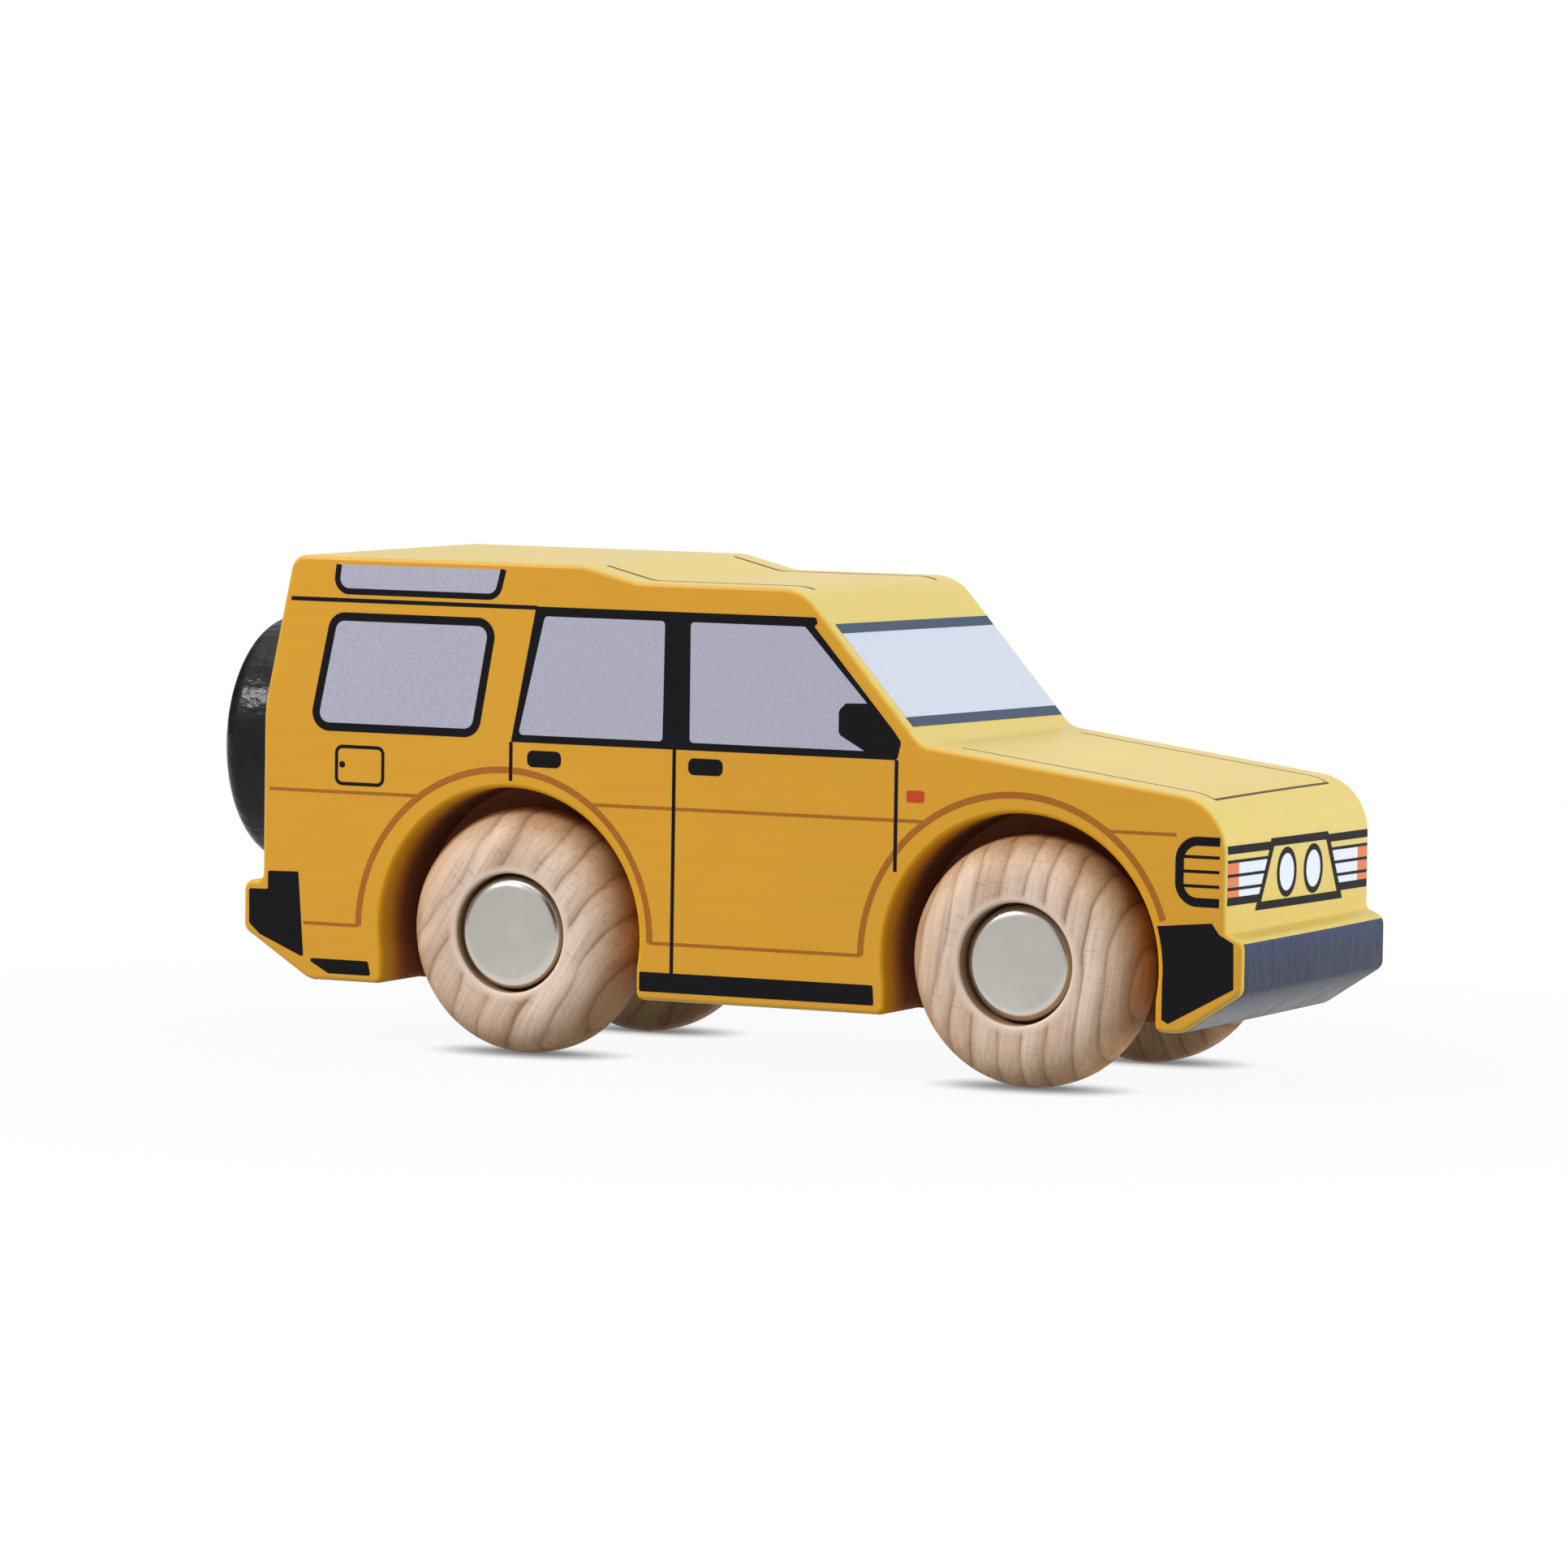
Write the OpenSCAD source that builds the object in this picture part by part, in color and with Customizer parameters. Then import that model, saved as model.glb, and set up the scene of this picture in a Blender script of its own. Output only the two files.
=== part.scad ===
// Wooden toy estate car with a spare wheel on its back and four free-running wheels.
// Millimetres. +X is the front of the car, +Y its left side, +Z up.
// The origin lies on the floor, under the middle of the car's overall length and width.

/* [Body block] */
// Width of the block across the car
body_w = 44.4; // [40:0.1:50]
// Distance between the two axles
wheelbase = 68; // [60:0.5:80]
// Rear axle back to the flat rear face
rear_overhang = 34.3; // [30:0.1:40]
// Front axle forward to the nose, without the bumper
front_overhang = 26.1; // [24:0.1:33]
// Axle line down to the underside of the block
sill_drop = 7.1; // [5.5:0.1:9]
// Radius along the side edges of the block
edge_r = 0.6; // [0.4:0.1:1.2]
// How far the nose bows out in the middle of its width
nose_crown = 0.2; // [0.1:0.1:2]

/* [Roof and bonnet] */
// Axle line up to the rear roof
roof_rise = 45; // [42:0.1:50]
// How much lower the front roof lies
roof_drop = 1.8; // [1:0.1:4]
// Length of the sloped step between the two roofs
roof_step_l = 7.3; // [5:0.1:10]
// Length of the front roof, from the step to the windscreen
front_roof_l = 22; // [18:0.1:26]
// Front axle back to the foot of the windscreen
windscreen_back = 13.3; // [10:0.1:16]
// Length of the windscreen, seen from above
windscreen_run = 15.9; // [12:0.1:19]
// Axle line up to the foot of the windscreen
bonnet_rise = 25.2; // [23:0.1:30]
// How much the bonnet falls towards the nose
bonnet_fall = 5.1; // [3:0.1:7]
// Radius where the bonnet turns down into the nose
nose_r = 7; // [4:0.1:9]
// Radius where the front roof turns down into the windscreen
windscreen_top_r = 6; // [2:0.1:8]
// Radius of the hollow at the foot of the windscreen
windscreen_foot_r = 3; // [1:0.1:5]
// Radius of both bends of the roof step
roof_step_r = 6; // [3:0.1:9]

/* [Rear] */
// How far the rear leans forward at the roof
rear_lean = 3.9; // [2:0.1:6]
// Axle line up to where the rear starts to lean
rear_lean_rise = 26.2; // [23:0.1:30]
// Radius of the bend where the rear starts to lean
rear_lean_r = 20; // [10:1:30]
// Radius of the rear edge of the roof
roof_rear_r = 2.2; // [2:0.1:4]

/* [Bumpers] */
// How far the front bumper stands out
front_bumper_l = 2.3; // [1.5:0.1:4]
// Axle line up to the top edge of the front bumper
front_bumper_rise = 3.9; // [2:0.1:5]
// Fall of the top of the front bumper towards its edge
front_bumper_fall = 1; // [0.5:0.1:2]
// Axle line down to the bottom edge of the front bumper
front_bumper_drop = 2.1; // [1:0.1:4]
// Length of the bevel under the front bumper
front_bevel_l = 7.6; // [6:0.1:9]
// How far the rear bumper stands out
rear_bumper_l = 2.6; // [1.5:0.1:5]
// Axle line up to the top of the rear bumper
rear_bumper_rise = 4.8; // [3:0.1:6]
// Axle line down to the bottom edge of the rear bumper
rear_bumper_drop = 1.3; // [0:0.1:3]
// Length of the bevel under the rear bumper
rear_bevel_l = 9.2; // [7:0.1:12]
// Radius of the bumpers' long edges
bumper_r = 1.4; // [0.8:0.1:2]
// Radius where the bevels under the bumpers run out into the underside
bevel_r = 3; // [1:0.1:4]
// Radius of the hollows where the bumpers meet the block
bumper_hollow_r = 0.8; // [0.4:0.1:1.2]

/* [Wheels] */
// Diameter of a wheel
wheel_d = 30; // [26:0.5:34]
// Thickness of a wheel, without its boss
wheel_w = 10; // [8:0.1:12]
// Radius of the rim on the outer side
rim_outer_r = 5.5; // [2:0.1:6]
// Radius of the rim on the inner side
rim_inner_r = 3; // [1:0.1:3.4]
// How far inside the sides of the block a wheel's face lies when it is pushed right in
wheel_inset = 0.3; // [0:0.1:2]
// How far a wheel can slide out along its axle. The rear wheels are pushed in and the front ones drawn out
wheel_play = 1.5; // [0.5:0.1:2]
// Room between a wheel and the arch over it
arch_gap = 2.7; // [1.5:0.1:4]
// How far the legs of an arch draw in below the axle line
arch_draw = 0.3; // [0.2:0.1:0.8]
// Depth of the counterbore that takes the hub cap
counterbore_h = 4.2; // [3.4:0.1:5]
// Bevel round the mouth of the counterbore
counterbore_bevel = 0.5; // [0.2:0.1:1]
// Diameter of the boss on the inner side
boss_d = 10; // [8:0.5:14]
// Height of the boss
boss_h = 0.5; // [0.3:0.1:1.5]

/* [Axles and hub caps] */
// Diameter of an axle rod
axle_d = 5; // [4:0.1:6]
// Bevel on the ends of an axle rod
axle_bevel = 0.4; // [0.2:0.1:0.8]
// Outer diameter of a hub cap
cap_d = 13.8; // [12:0.1:14]
// Sheet thickness of a hub cap
cap_wall = 0.5; // [0.3:0.05:0.8]
// Radius round the edge of a hub cap's face
cap_edge_r = 1.5; // [1:0.1:2]
// How far a hub cap stands out of a wheel that is pushed right in
cap_proud = 0; // [0:0.1:1]
// How much further out the front hub caps sit than the rear ones, on a longer axle
front_cap_out = 0.7; // [0:0.1:1.2]
// Thickness of a push nut
nut_t = 0.4; // [0.3:0.05:0.6]
// Width of the slots between a push nut's teeth
nut_slot_w = 0.6; // [0.4:0.05:0.8]
// Number of teeth on a push nut
nut_teeth = 6; // [4:1:8]

/* [Spare wheel] */
// Diameter of the spare wheel
spare_d = 31; // [27:0.5:32]
// Thickness of the spare wheel
spare_t = 10.1; // [7:0.1:12]
// Axle line up to the middle of the spare wheel
spare_rise = 20.8; // [20:0.1:24]
// Radius of the rear edge of the spare wheel
spare_edge_r = 2.5; // [1:0.1:4]
// Bevel on the front edge of the spare wheel
spare_bevel = 0.6; // [0.3:0.1:1.5]
// Diameter of the dowel that holds the spare wheel
dowel_d = 8; // [6:0.5:10]
// Length of the dowel inside the block
dowel_in_body = 9; // [6:0.5:14]
// Length of the dowel inside the spare wheel
dowel_in_spare = 6; // [4:0.5:6.5]

/* [Fits] */
// Room round an axle rod in the bore of a wheel, on the radius
running_clear = 0.06; // [0.03:0.01:0.1]
// Room round a rod or a dowel that is pressed or glued in, on the radius
seat_clear = 0.02; // [0.01:0.01:0.04]
// Room at each end of a wheel along its axle
end_gap = 0.3; // [0.2:0.05:0.6]
// Glue line between the spare wheel and the block
glue_gap = 0.05; // [0.02:0.01:0.1]
// Room round a hub cap in the counterbore of its wheel, on the radius
cap_clear = 0.35; // [0.2:0.05:1]
// Room between an axle's end and the inside of its hub cap
cap_room = 0.3; // [0.2:0.05:0.6]

/* [Hidden] */

// Circle steps of turned shapes
$fn = 96;
// Angle of one step along a bend of the block's outline
bend_step = 12;
// Angle of one step along a rounded edge of a turned piece
turn_step = 15;
// Steps round each side edge of the block, and across its width
edge_steps = 4;
width_steps = 8;
// Outward bends stay this much larger than the side edges' radius
least_bend_share = 1.2;
// Flat that always stays beside a wheel's outer rim, on its face and on its tread
rim_flat = 0.2;
// Overrun of every cut past the face that it opens
overrun = 1;
left = 1;
right = -1;

wheel_r = wheel_d / 2;
axle_r = axle_d / 2;
half_w = body_w / 2;
arch_r = wheel_r + arch_gap;
axle_z = wheel_r;

// The outline is drawn from the middle between the axles and is then centred on the overall length.
rear_reach = wheelbase / 2 + rear_overhang + max(rear_bumper_l, glue_gap + spare_t);
front_reach = wheelbase / 2 + front_overhang + front_bumper_l + nose_crown;
overall_l = rear_reach + front_reach;
middle_x = (rear_reach - front_reach) / 2;
front_axle_x = middle_x + wheelbase / 2;
rear_axle_x = middle_x - wheelbase / 2;
nose_x = front_axle_x + front_overhang;
rear_x = rear_axle_x - rear_overhang;

// Heights of the outline
sill_z = axle_z - sill_drop;
roof_z = axle_z + roof_rise;
front_roof_z = roof_z - roof_drop;
bonnet_z = axle_z + bonnet_rise;
nose_z = bonnet_z - bonnet_fall;
front_bumper_z = axle_z + front_bumper_rise;
rear_bumper_z = axle_z + rear_bumper_rise;

// Lengths along the roof
windscreen_foot_x = front_axle_x - windscreen_back;
windscreen_top_x = windscreen_foot_x - windscreen_run;
roof_step_x = windscreen_top_x - front_roof_l;

// Heights along an axle, from the floor of its wheel well outwards, with the wheel pushed right in
wheel_start = end_gap + boss_h;
wheel_face = wheel_start + wheel_w;
counterbore_floor = wheel_face - counterbore_h;
cap_start = counterbore_floor + wheel_play + end_gap;
cap_top = wheel_face + cap_proud;
axle_end = cap_top - cap_wall - cap_room;
well_depth = wheel_face + wheel_inset;
well_floor_y = half_w - well_depth;

least_bend_r = least_bend_share * edge_r;

// Corners of the outline, counterclockwise: place along the car, height, bend radius
CORNERS = [
  [nose_x + front_bumper_l - front_bevel_l, sill_z, max(bevel_r, least_bend_r)],
  [nose_x + front_bumper_l, axle_z - front_bumper_drop, max(bumper_r, least_bend_r)],
  [nose_x + front_bumper_l, front_bumper_z, max(bumper_r, least_bend_r)],
  [nose_x, front_bumper_z + front_bumper_fall, bumper_hollow_r],
  [nose_x, nose_z, max(nose_r, least_bend_r)],
  [windscreen_foot_x, bonnet_z, windscreen_foot_r],
  [windscreen_top_x, front_roof_z, max(windscreen_top_r, least_bend_r)],
  [roof_step_x, front_roof_z, roof_step_r],
  [roof_step_x - roof_step_l, roof_z, max(roof_step_r, least_bend_r)],
  [rear_x + rear_lean, roof_z, max(roof_rear_r, least_bend_r)],
  [rear_x, axle_z + rear_lean_rise, rear_lean_r],
  [rear_x, rear_bumper_z, bumper_hollow_r],
  [rear_x - rear_bumper_l, rear_bumper_z, max(bumper_r, least_bend_r)],
  [rear_x - rear_bumper_l, axle_z - rear_bumper_drop, max(bumper_r, least_bend_r)],
  [rear_x - rear_bumper_l + rear_bevel_l, sill_z, max(bevel_r, least_bend_r)]
];

function unit(v) = v / norm(v);
function flat(p) = [p[0], p[1]];
function cross_2d(a, b) = a[0] * b[1] - a[1] * b[0];

// Points along an arc, both ends included
function arc(centre, r, from, to, step) =
  let (steps = max(1, ceil(abs(to - from) / step)))
  [for (i = [0 : steps]) let (a = from + (to - from) * i / steps) centre + r * [cos(a), sin(a)]];

// The bend at corner b between its neighbours a and c
function bend(a, b, c, r) =
  let (
    to_a = unit(a - b),
    to_c = unit(c - b),
    opening = acos(to_a * to_c),
    centre = b + unit(to_a + to_c) * r / sin(opening / 2),
    first = b + to_a * r / tan(opening / 2) - centre,
    from = atan2(first[1], first[0]),
    sweep = sign(cross_2d(b - a, c - b)) * (180 - opening)
  )
  arc(centre, r, from, from + sweep, bend_step);

function outline(corners) =
  let (n = len(corners))
  [
    for (i = [0 : n - 1])
      each bend(
        flat(corners[(i + n - 1) % n]), flat(corners[i]), flat(corners[(i + 1) % n]), corners[i][2]
      )
  ];

// How far each outline point moves for an inset of one
function mitres(points) =
  let (n = len(points))
  [
    for (i = [0 : n - 1])
      let (
        before = unit(points[i] - points[(i + n - 1) % n]),
        after = unit(points[(i + 1) % n] - points[i]),
        m = [before[1] + after[1], -before[0] - after[0]]
      )
      m / (1 + before * after)
  ];

// Bow of the nose at a place along the car and across it
function bow(x, y) =
  nose_crown * (1 - pow(y / half_w, 2)) * max(0, min(1, (x - front_axle_x) / front_overhang));

// Places across the block, each with the inset that rounds its side edges
edge_stations = [
  for (k = [0 : edge_steps])
    let (a = 90 * k / edge_steps) [half_w - edge_r * (1 - cos(a)), edge_r * (1 - sin(a))]
];
flat_half_w = half_w - edge_r;
stations = [
  [-half_w - overrun, edge_r],
  for (s = edge_stations) [-s[0], s[1]],
  for (k = [1 : width_steps - 1]) [flat_half_w * (2 * k / width_steps - 1), 0],
  for (k = [edge_steps : -1 : 0]) edge_stations[k],
  [half_w + overrun, edge_r]
];

// The outline carried across the car with its rounded side edges, a little past both sides
module long_block() {
  profile = outline(CORNERS);
  inward = mitres(profile);
  n = len(profile);
  last = (len(stations) - 1) * n;
  points = [
    for (s = stations, i = [0 : n - 1])
      let (p = profile[i] - s[1] * inward[i]) [p[0] + bow(p[0], s[0]), s[0], p[1]]
  ];
  sides = [
    for (k = [0 : len(stations) - 2], i = [0 : n - 1])
      let (a = k * n + i, b = k * n + (i + 1) % n)
      each [[a, b, b + n], [a, b + n, a + n]]
  ];
  ends = [[for (i = [n - 1 : -1 : 0]) i], [for (i = [0 : n - 1]) last + i]];
  polyhedron(points, concat(sides, ends));
}

// The block with its sides cut flat
module solid_block() {
  intersection() {
    long_block();
    translate([-overall_l / 2 - overrun, -half_w, 0])
      cube([overall_l + 2 * overrun, body_w, roof_z + overrun]);
  }
}

// Stands its children on the floor of a wheel well, with their +Z outwards along the axle
module at_well(x, side) {
  translate([x, side * well_floor_y, axle_z]) rotate([-90 * side, 0, 0]) children();
}

// Lays its children along the car on the spare wheel's axis, with their +Z backwards
module at_spare() {
  translate([rear_x, 0, axle_z + spare_rise]) rotate([0, -90, 0]) children();
}

module wheel_well(x, side) {
  at_well(x, side) cylinder(r = arch_r, h = well_depth + overrun);
  leg_z = sill_z - overrun;
  leg_x = arch_r - arch_draw;
  translate([x - leg_x, side > 0 ? well_floor_y : -half_w - overrun, leg_z])
    cube([2 * leg_x, well_depth + overrun, axle_z - leg_z]);
}

module axle_bore(x) {
  translate([x, 0, axle_z]) rotate([90, 0, 0])
    cylinder(r = axle_r + seat_clear, h = 2 * (well_floor_y + overrun), center = true);
}

module body_block() {
  color("goldenrod") difference() {
    solid_block();
    for (x = [front_axle_x, rear_axle_x]) {
      axle_bore(x);
      for (side = [left, right]) wheel_well(x, side);
    }
    at_spare() translate([0, 0, -dowel_in_body - overrun])
      cylinder(d = dowel_d + 2 * seat_clear, h = dowel_in_body + 2 * overrun);
  }
}

module spare_wheel() {
  r = spare_d / 2;
  rear_edge = arc([r - spare_edge_r, spare_t - spare_edge_r], spare_edge_r, 0, 90, turn_step);
  half_section = concat([[0, 0], [r - spare_bevel, 0], [r, spare_bevel]], rear_edge, [[0, spare_t]]);
  color("dimgray") at_spare() translate([0, 0, glue_gap]) difference() {
    rotate_extrude() polygon(half_section);
    translate([0, 0, -overrun]) cylinder(d = dowel_d + 2 * seat_clear, h = dowel_in_spare + 2 * overrun);
  }
}

module spare_wheel_dowel() {
  color("burlywood") at_spare() translate([0, 0, -dowel_in_body])
    cylinder(d = dowel_d, h = dowel_in_body + glue_gap + dowel_in_spare);
}

module axle(x, cap_out) {
  half_l = well_floor_y + axle_end + cap_out;
  half_section = [
    [0, -half_l], [axle_r - axle_bevel, -half_l], [axle_r, axle_bevel - half_l],
    [axle_r, half_l - axle_bevel], [axle_r - axle_bevel, half_l], [0, half_l]
  ];
  color("silver") translate([x, 0, axle_z]) rotate([90, 0, 0]) rotate_extrude() polygon(half_section);
}

module wheel(x, side, drawn_out) {
  bore_r = axle_r + running_clear;
  mouth_r = cap_d / 2 + cap_clear;
  face_room = wheel_r - mouth_r - counterbore_bevel - rim_flat;
  outer_r = min(rim_outer_r, face_room, wheel_w - rim_inner_r - rim_flat);
  inner_rim = arc([wheel_r - rim_inner_r, wheel_start + rim_inner_r], rim_inner_r, -90, 0, turn_step);
  outer_rim = arc([wheel_r - outer_r, wheel_face - outer_r], outer_r, 0, 90, turn_step);
  boss = [[bore_r, end_gap], [boss_d / 2, end_gap], [boss_d / 2, wheel_start]];
  counterbore = [
    [mouth_r + counterbore_bevel, wheel_face], [mouth_r, wheel_face - counterbore_bevel],
    [mouth_r, counterbore_floor], [bore_r, counterbore_floor]
  ];
  color("burlywood") at_well(x, side) translate([0, 0, drawn_out]) rotate_extrude()
    polygon(concat(boss, inner_rim, outer_rim, counterbore));
}

module hub_cap(x, side, cap_out) {
  outer_r = cap_d / 2;
  inner_r = outer_r - cap_wall;
  bend_r = outer_r - cap_edge_r;
  bend_z = cap_top - cap_edge_r;
  outside = arc([bend_r, bend_z], cap_edge_r, 0, 90, turn_step);
  inside = arc([bend_r, bend_z], cap_edge_r - cap_wall, 90, 0, turn_step);
  half_section = concat(
    [[inner_r, cap_start], [outer_r, cap_start]], outside, [[0, cap_top], [0, cap_top - cap_wall]], inside
  );
  color("gainsboro") at_well(x, side) translate([0, 0, cap_out]) rotate_extrude() polygon(half_section);
}

module push_nut(x, side, cap_out) {
  outer_r = cap_d / 2 - cap_wall - seat_clear;
  bore_r = axle_r + seat_clear;
  slot_end = (bore_r + outer_r) / 2;
  color("slategray") at_well(x, side) translate([0, 0, cap_start + cap_out]) difference() {
    cylinder(r = outer_r, h = nut_t);
    translate([0, 0, -overrun]) cylinder(r = bore_r, h = nut_t + 2 * overrun);
    for (i = [0 : nut_teeth - 1])
      rotate(360 * i / nut_teeth) translate([0, -nut_slot_w / 2, -overrun])
        cube([slot_end, nut_slot_w, nut_t + 2 * overrun]);
  }
}

body_block();
spare_wheel();
spare_wheel_dowel();
axle(front_axle_x, front_cap_out);  // front_axle
axle(rear_axle_x, 0);  // rear_axle
wheel(front_axle_x, left, wheel_play);  // wheel_front_left
wheel(front_axle_x, right, wheel_play);  // wheel_front_right
wheel(rear_axle_x, left, 0);  // wheel_rear_left
wheel(rear_axle_x, right, 0);  // wheel_rear_right
hub_cap(front_axle_x, left, front_cap_out);  // hub_cap_front_left
hub_cap(front_axle_x, right, front_cap_out);  // hub_cap_front_right
hub_cap(rear_axle_x, left, 0);  // hub_cap_rear_left
hub_cap(rear_axle_x, right, 0);  // hub_cap_rear_right
push_nut(front_axle_x, left, front_cap_out);  // push_nut_front_left
push_nut(front_axle_x, right, front_cap_out);  // push_nut_front_right
push_nut(rear_axle_x, left, 0);  // push_nut_rear_left
push_nut(rear_axle_x, right, 0);  // push_nut_rear_right
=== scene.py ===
"""Looks of a wooden toy estate car: painted block, printed windows, beech wheels and nickel hub caps.

Shapes are worked out in millimetres and turned into metres when a mesh is made.
"""
import math

import bmesh
import bpy
from mathutils import Matrix, Vector
from mathutils.bvhtree import BVHTree


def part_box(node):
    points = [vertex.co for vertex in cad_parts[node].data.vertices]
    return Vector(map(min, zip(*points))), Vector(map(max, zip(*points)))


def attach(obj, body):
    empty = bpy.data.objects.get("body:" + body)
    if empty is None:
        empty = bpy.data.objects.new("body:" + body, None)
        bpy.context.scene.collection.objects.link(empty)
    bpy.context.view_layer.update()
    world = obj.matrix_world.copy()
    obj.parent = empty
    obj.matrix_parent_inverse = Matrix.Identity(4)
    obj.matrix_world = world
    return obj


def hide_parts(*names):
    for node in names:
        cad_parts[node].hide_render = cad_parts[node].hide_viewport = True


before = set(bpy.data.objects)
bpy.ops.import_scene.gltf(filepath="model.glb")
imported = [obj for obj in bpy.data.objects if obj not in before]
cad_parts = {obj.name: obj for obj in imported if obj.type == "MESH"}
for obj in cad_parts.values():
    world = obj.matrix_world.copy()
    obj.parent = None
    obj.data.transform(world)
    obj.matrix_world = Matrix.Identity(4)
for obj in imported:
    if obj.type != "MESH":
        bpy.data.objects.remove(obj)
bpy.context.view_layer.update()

MM = 0.001
LEFT, RIGHT = 1, -1
X, Y, Z = range(3)
CAR = "car"


def box_mm(node):
    """Lowest and highest corner of a CAD node, in millimetres."""
    low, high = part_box(node)
    return low / MM, high / MM


def middle_mm(node):
    low, high = box_mm(node)
    return (low + high) / 2


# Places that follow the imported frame
FRONT_AXLE_X = middle_mm("front_axle").x
REAR_AXLE_X = middle_mm("rear_axle").x
MIDDLE_X = (FRONT_AXLE_X + REAR_AXLE_X) / 2
AXLE_Z = middle_mm("front_axle").z
HALF_W = box_mm("body_block")[1].y
SPARE_LOW, SPARE_HIGH = box_mm("spare_wheel")

# Block, the same values as the solid has
REAR_OVERHANG = 34.3
FRONT_OVERHANG = 26.1
SILL_DROP = 7.1
EDGE_R = 0.6
NOSE_CROWN = 0.2
ROOF_RISE = 45.0
ROOF_DROP = 1.8
ROOF_STEP_L = 7.3
FRONT_ROOF_L = 22.0
WINDSCREEN_BACK = 13.3
WINDSCREEN_RUN = 15.9
BONNET_RISE = 25.2
BONNET_FALL = 5.1
NOSE_R = 7.0
WINDSCREEN_TOP_R = 6.0
WINDSCREEN_FOOT_R = 3.0
ROOF_STEP_R = 6.0
REAR_LEAN = 3.9
REAR_LEAN_RISE = 26.2
REAR_LEAN_R = 20.0
ROOF_REAR_R = 2.2
FRONT_BUMPER_L = 2.3
FRONT_BUMPER_RISE = 3.9
FRONT_BUMPER_FALL = 1.0
FRONT_BUMPER_DROP = 2.1
FRONT_BEVEL_L = 7.6
REAR_BUMPER_L = 2.6
REAR_BUMPER_RISE = 4.8
REAR_BUMPER_DROP = 1.3
REAR_BEVEL_L = 9.2
BUMPER_R = 1.4
BEVEL_R = 3.0
BUMPER_HOLLOW_R = 0.8
ARCH_R = 17.7
ARCH_DRAW = 0.3
ARCH_FOOT_R = 0.9

# Wheels, hub caps and spare wheel
WHEEL_R = 15.0
WHEEL_W = 10.0
RIM_OUTER_R = 5.5
RIM_INNER_R = 3.0
WHEEL_INSET = 0.3
WHEEL_PLAY = 1.5
BORE_R = 2.56
COUNTERBORE_R = 7.25
COUNTERBORE_H = 4.2
COUNTERBORE_BEVEL = 0.5
BOSS_R = 5.0
BOSS_H = 0.5
END_GAP = 0.3
CAP_R = 6.9
CAP_WALL = 0.5
CAP_EDGE_R = 1.5
FRONT_CAP_OUT = 0.7
SPARE_R = 15.5
SPARE_EDGE_R = 2.5
SPARE_BEVEL = 0.6

NOSE_X = FRONT_AXLE_X + FRONT_OVERHANG
REAR_X = REAR_AXLE_X - REAR_OVERHANG
FRONT_X = NOSE_X + FRONT_BUMPER_L
BACK_X = REAR_X - REAR_BUMPER_L
SILL_Z = AXLE_Z - SILL_DROP
ROOF_Z = AXLE_Z + ROOF_RISE
BONNET_Z = AXLE_Z + BONNET_RISE
BUMPER_Z = AXLE_Z + FRONT_BUMPER_RISE
REAR_BUMPER_Z = AXLE_Z + REAR_BUMPER_RISE
WINDSCREEN_FOOT_X = FRONT_AXLE_X - WINDSCREEN_BACK
WINDSCREEN_TOP_X = WINDSCREEN_FOOT_X - WINDSCREEN_RUN
ROOF_STEP_X = WINDSCREEN_TOP_X - FRONT_ROOF_L
WHEEL_FACE = END_GAP + BOSS_H + WHEEL_W
WELL_FLOOR_Y = HALF_W - WHEEL_FACE - WHEEL_INSET

# Fineness of the meshes
BEND_STEP = 4
FOOT_STEP = 16
TURN_STEP = 6
LIP_STEP = 18
CIRCLE_STEP = 12
TURNS = 128
EDGE_STEPS = 5
WELL_STEPS = 6
MIDDLE_STEPS = 14
PRINT_STEP = 0.7
SHARP_ANGLE = math.radians(40)
FLAT_WEIGHT = 90
BLOCK_WELD = 1e-4
PRINT_WELD = 1e-3


# Outlines and arcs

def arc(centre, radius, start, end, step):
    """Points along an arc, both ends included. Angles are in degrees."""
    steps = max(1, math.ceil(abs(end - start) / step))
    angles = [math.radians(start + (end - start) * i / steps) for i in range(steps + 1)]
    return [Vector((centre[0] + radius * math.cos(a), centre[1] + radius * math.sin(a))) for a in angles]


def bend(a, b, c, radius, step):
    """Points round the corner b, between its neighbours a and c."""
    if radius == 0:
        return [b]
    to_a, to_c = (a - b).normalized(), (c - b).normalized()
    opening = to_a.angle(to_c)
    centre = b + (to_a + to_c).normalized() * radius / math.sin(opening / 2)
    first = b + to_a * radius / math.tan(opening / 2) - centre
    start = math.degrees(math.atan2(first.y, first.x))
    cross = (b - a).x * (c - b).y - (b - a).y * (c - b).x
    return arc(centre, radius, start, start + math.copysign(180 - math.degrees(opening), cross), step)


def rounded(corners, radius=None):
    """Closed outline through corners (u, v, bend radius), or (u, v) where they share one radius."""
    points = [Vector(c[:2]) for c in corners]
    n = len(points)
    outline = []
    for i, corner in enumerate(corners):
        bend_r = corner[2] if radius is None else radius
        outline += bend(points[i - 1], points[i], points[(i + 1) % n], bend_r, BEND_STEP)
    return outline


def mitres(points, closed=True):
    """How far each point of a path moves for an offset of one to its right."""
    n = len(points)
    moves = []
    for i in range(n):
        before = (points[i] - points[i - 1]).normalized() if i or closed else None
        after = (points[(i + 1) % n] - points[i]).normalized() if i < n - 1 or closed else None
        before, after = before or after, after or before
        across = Vector((before.y + after.y, -before.x - after.x))
        moves.append(across / (1 + before.dot(after)))
    return moves


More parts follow.
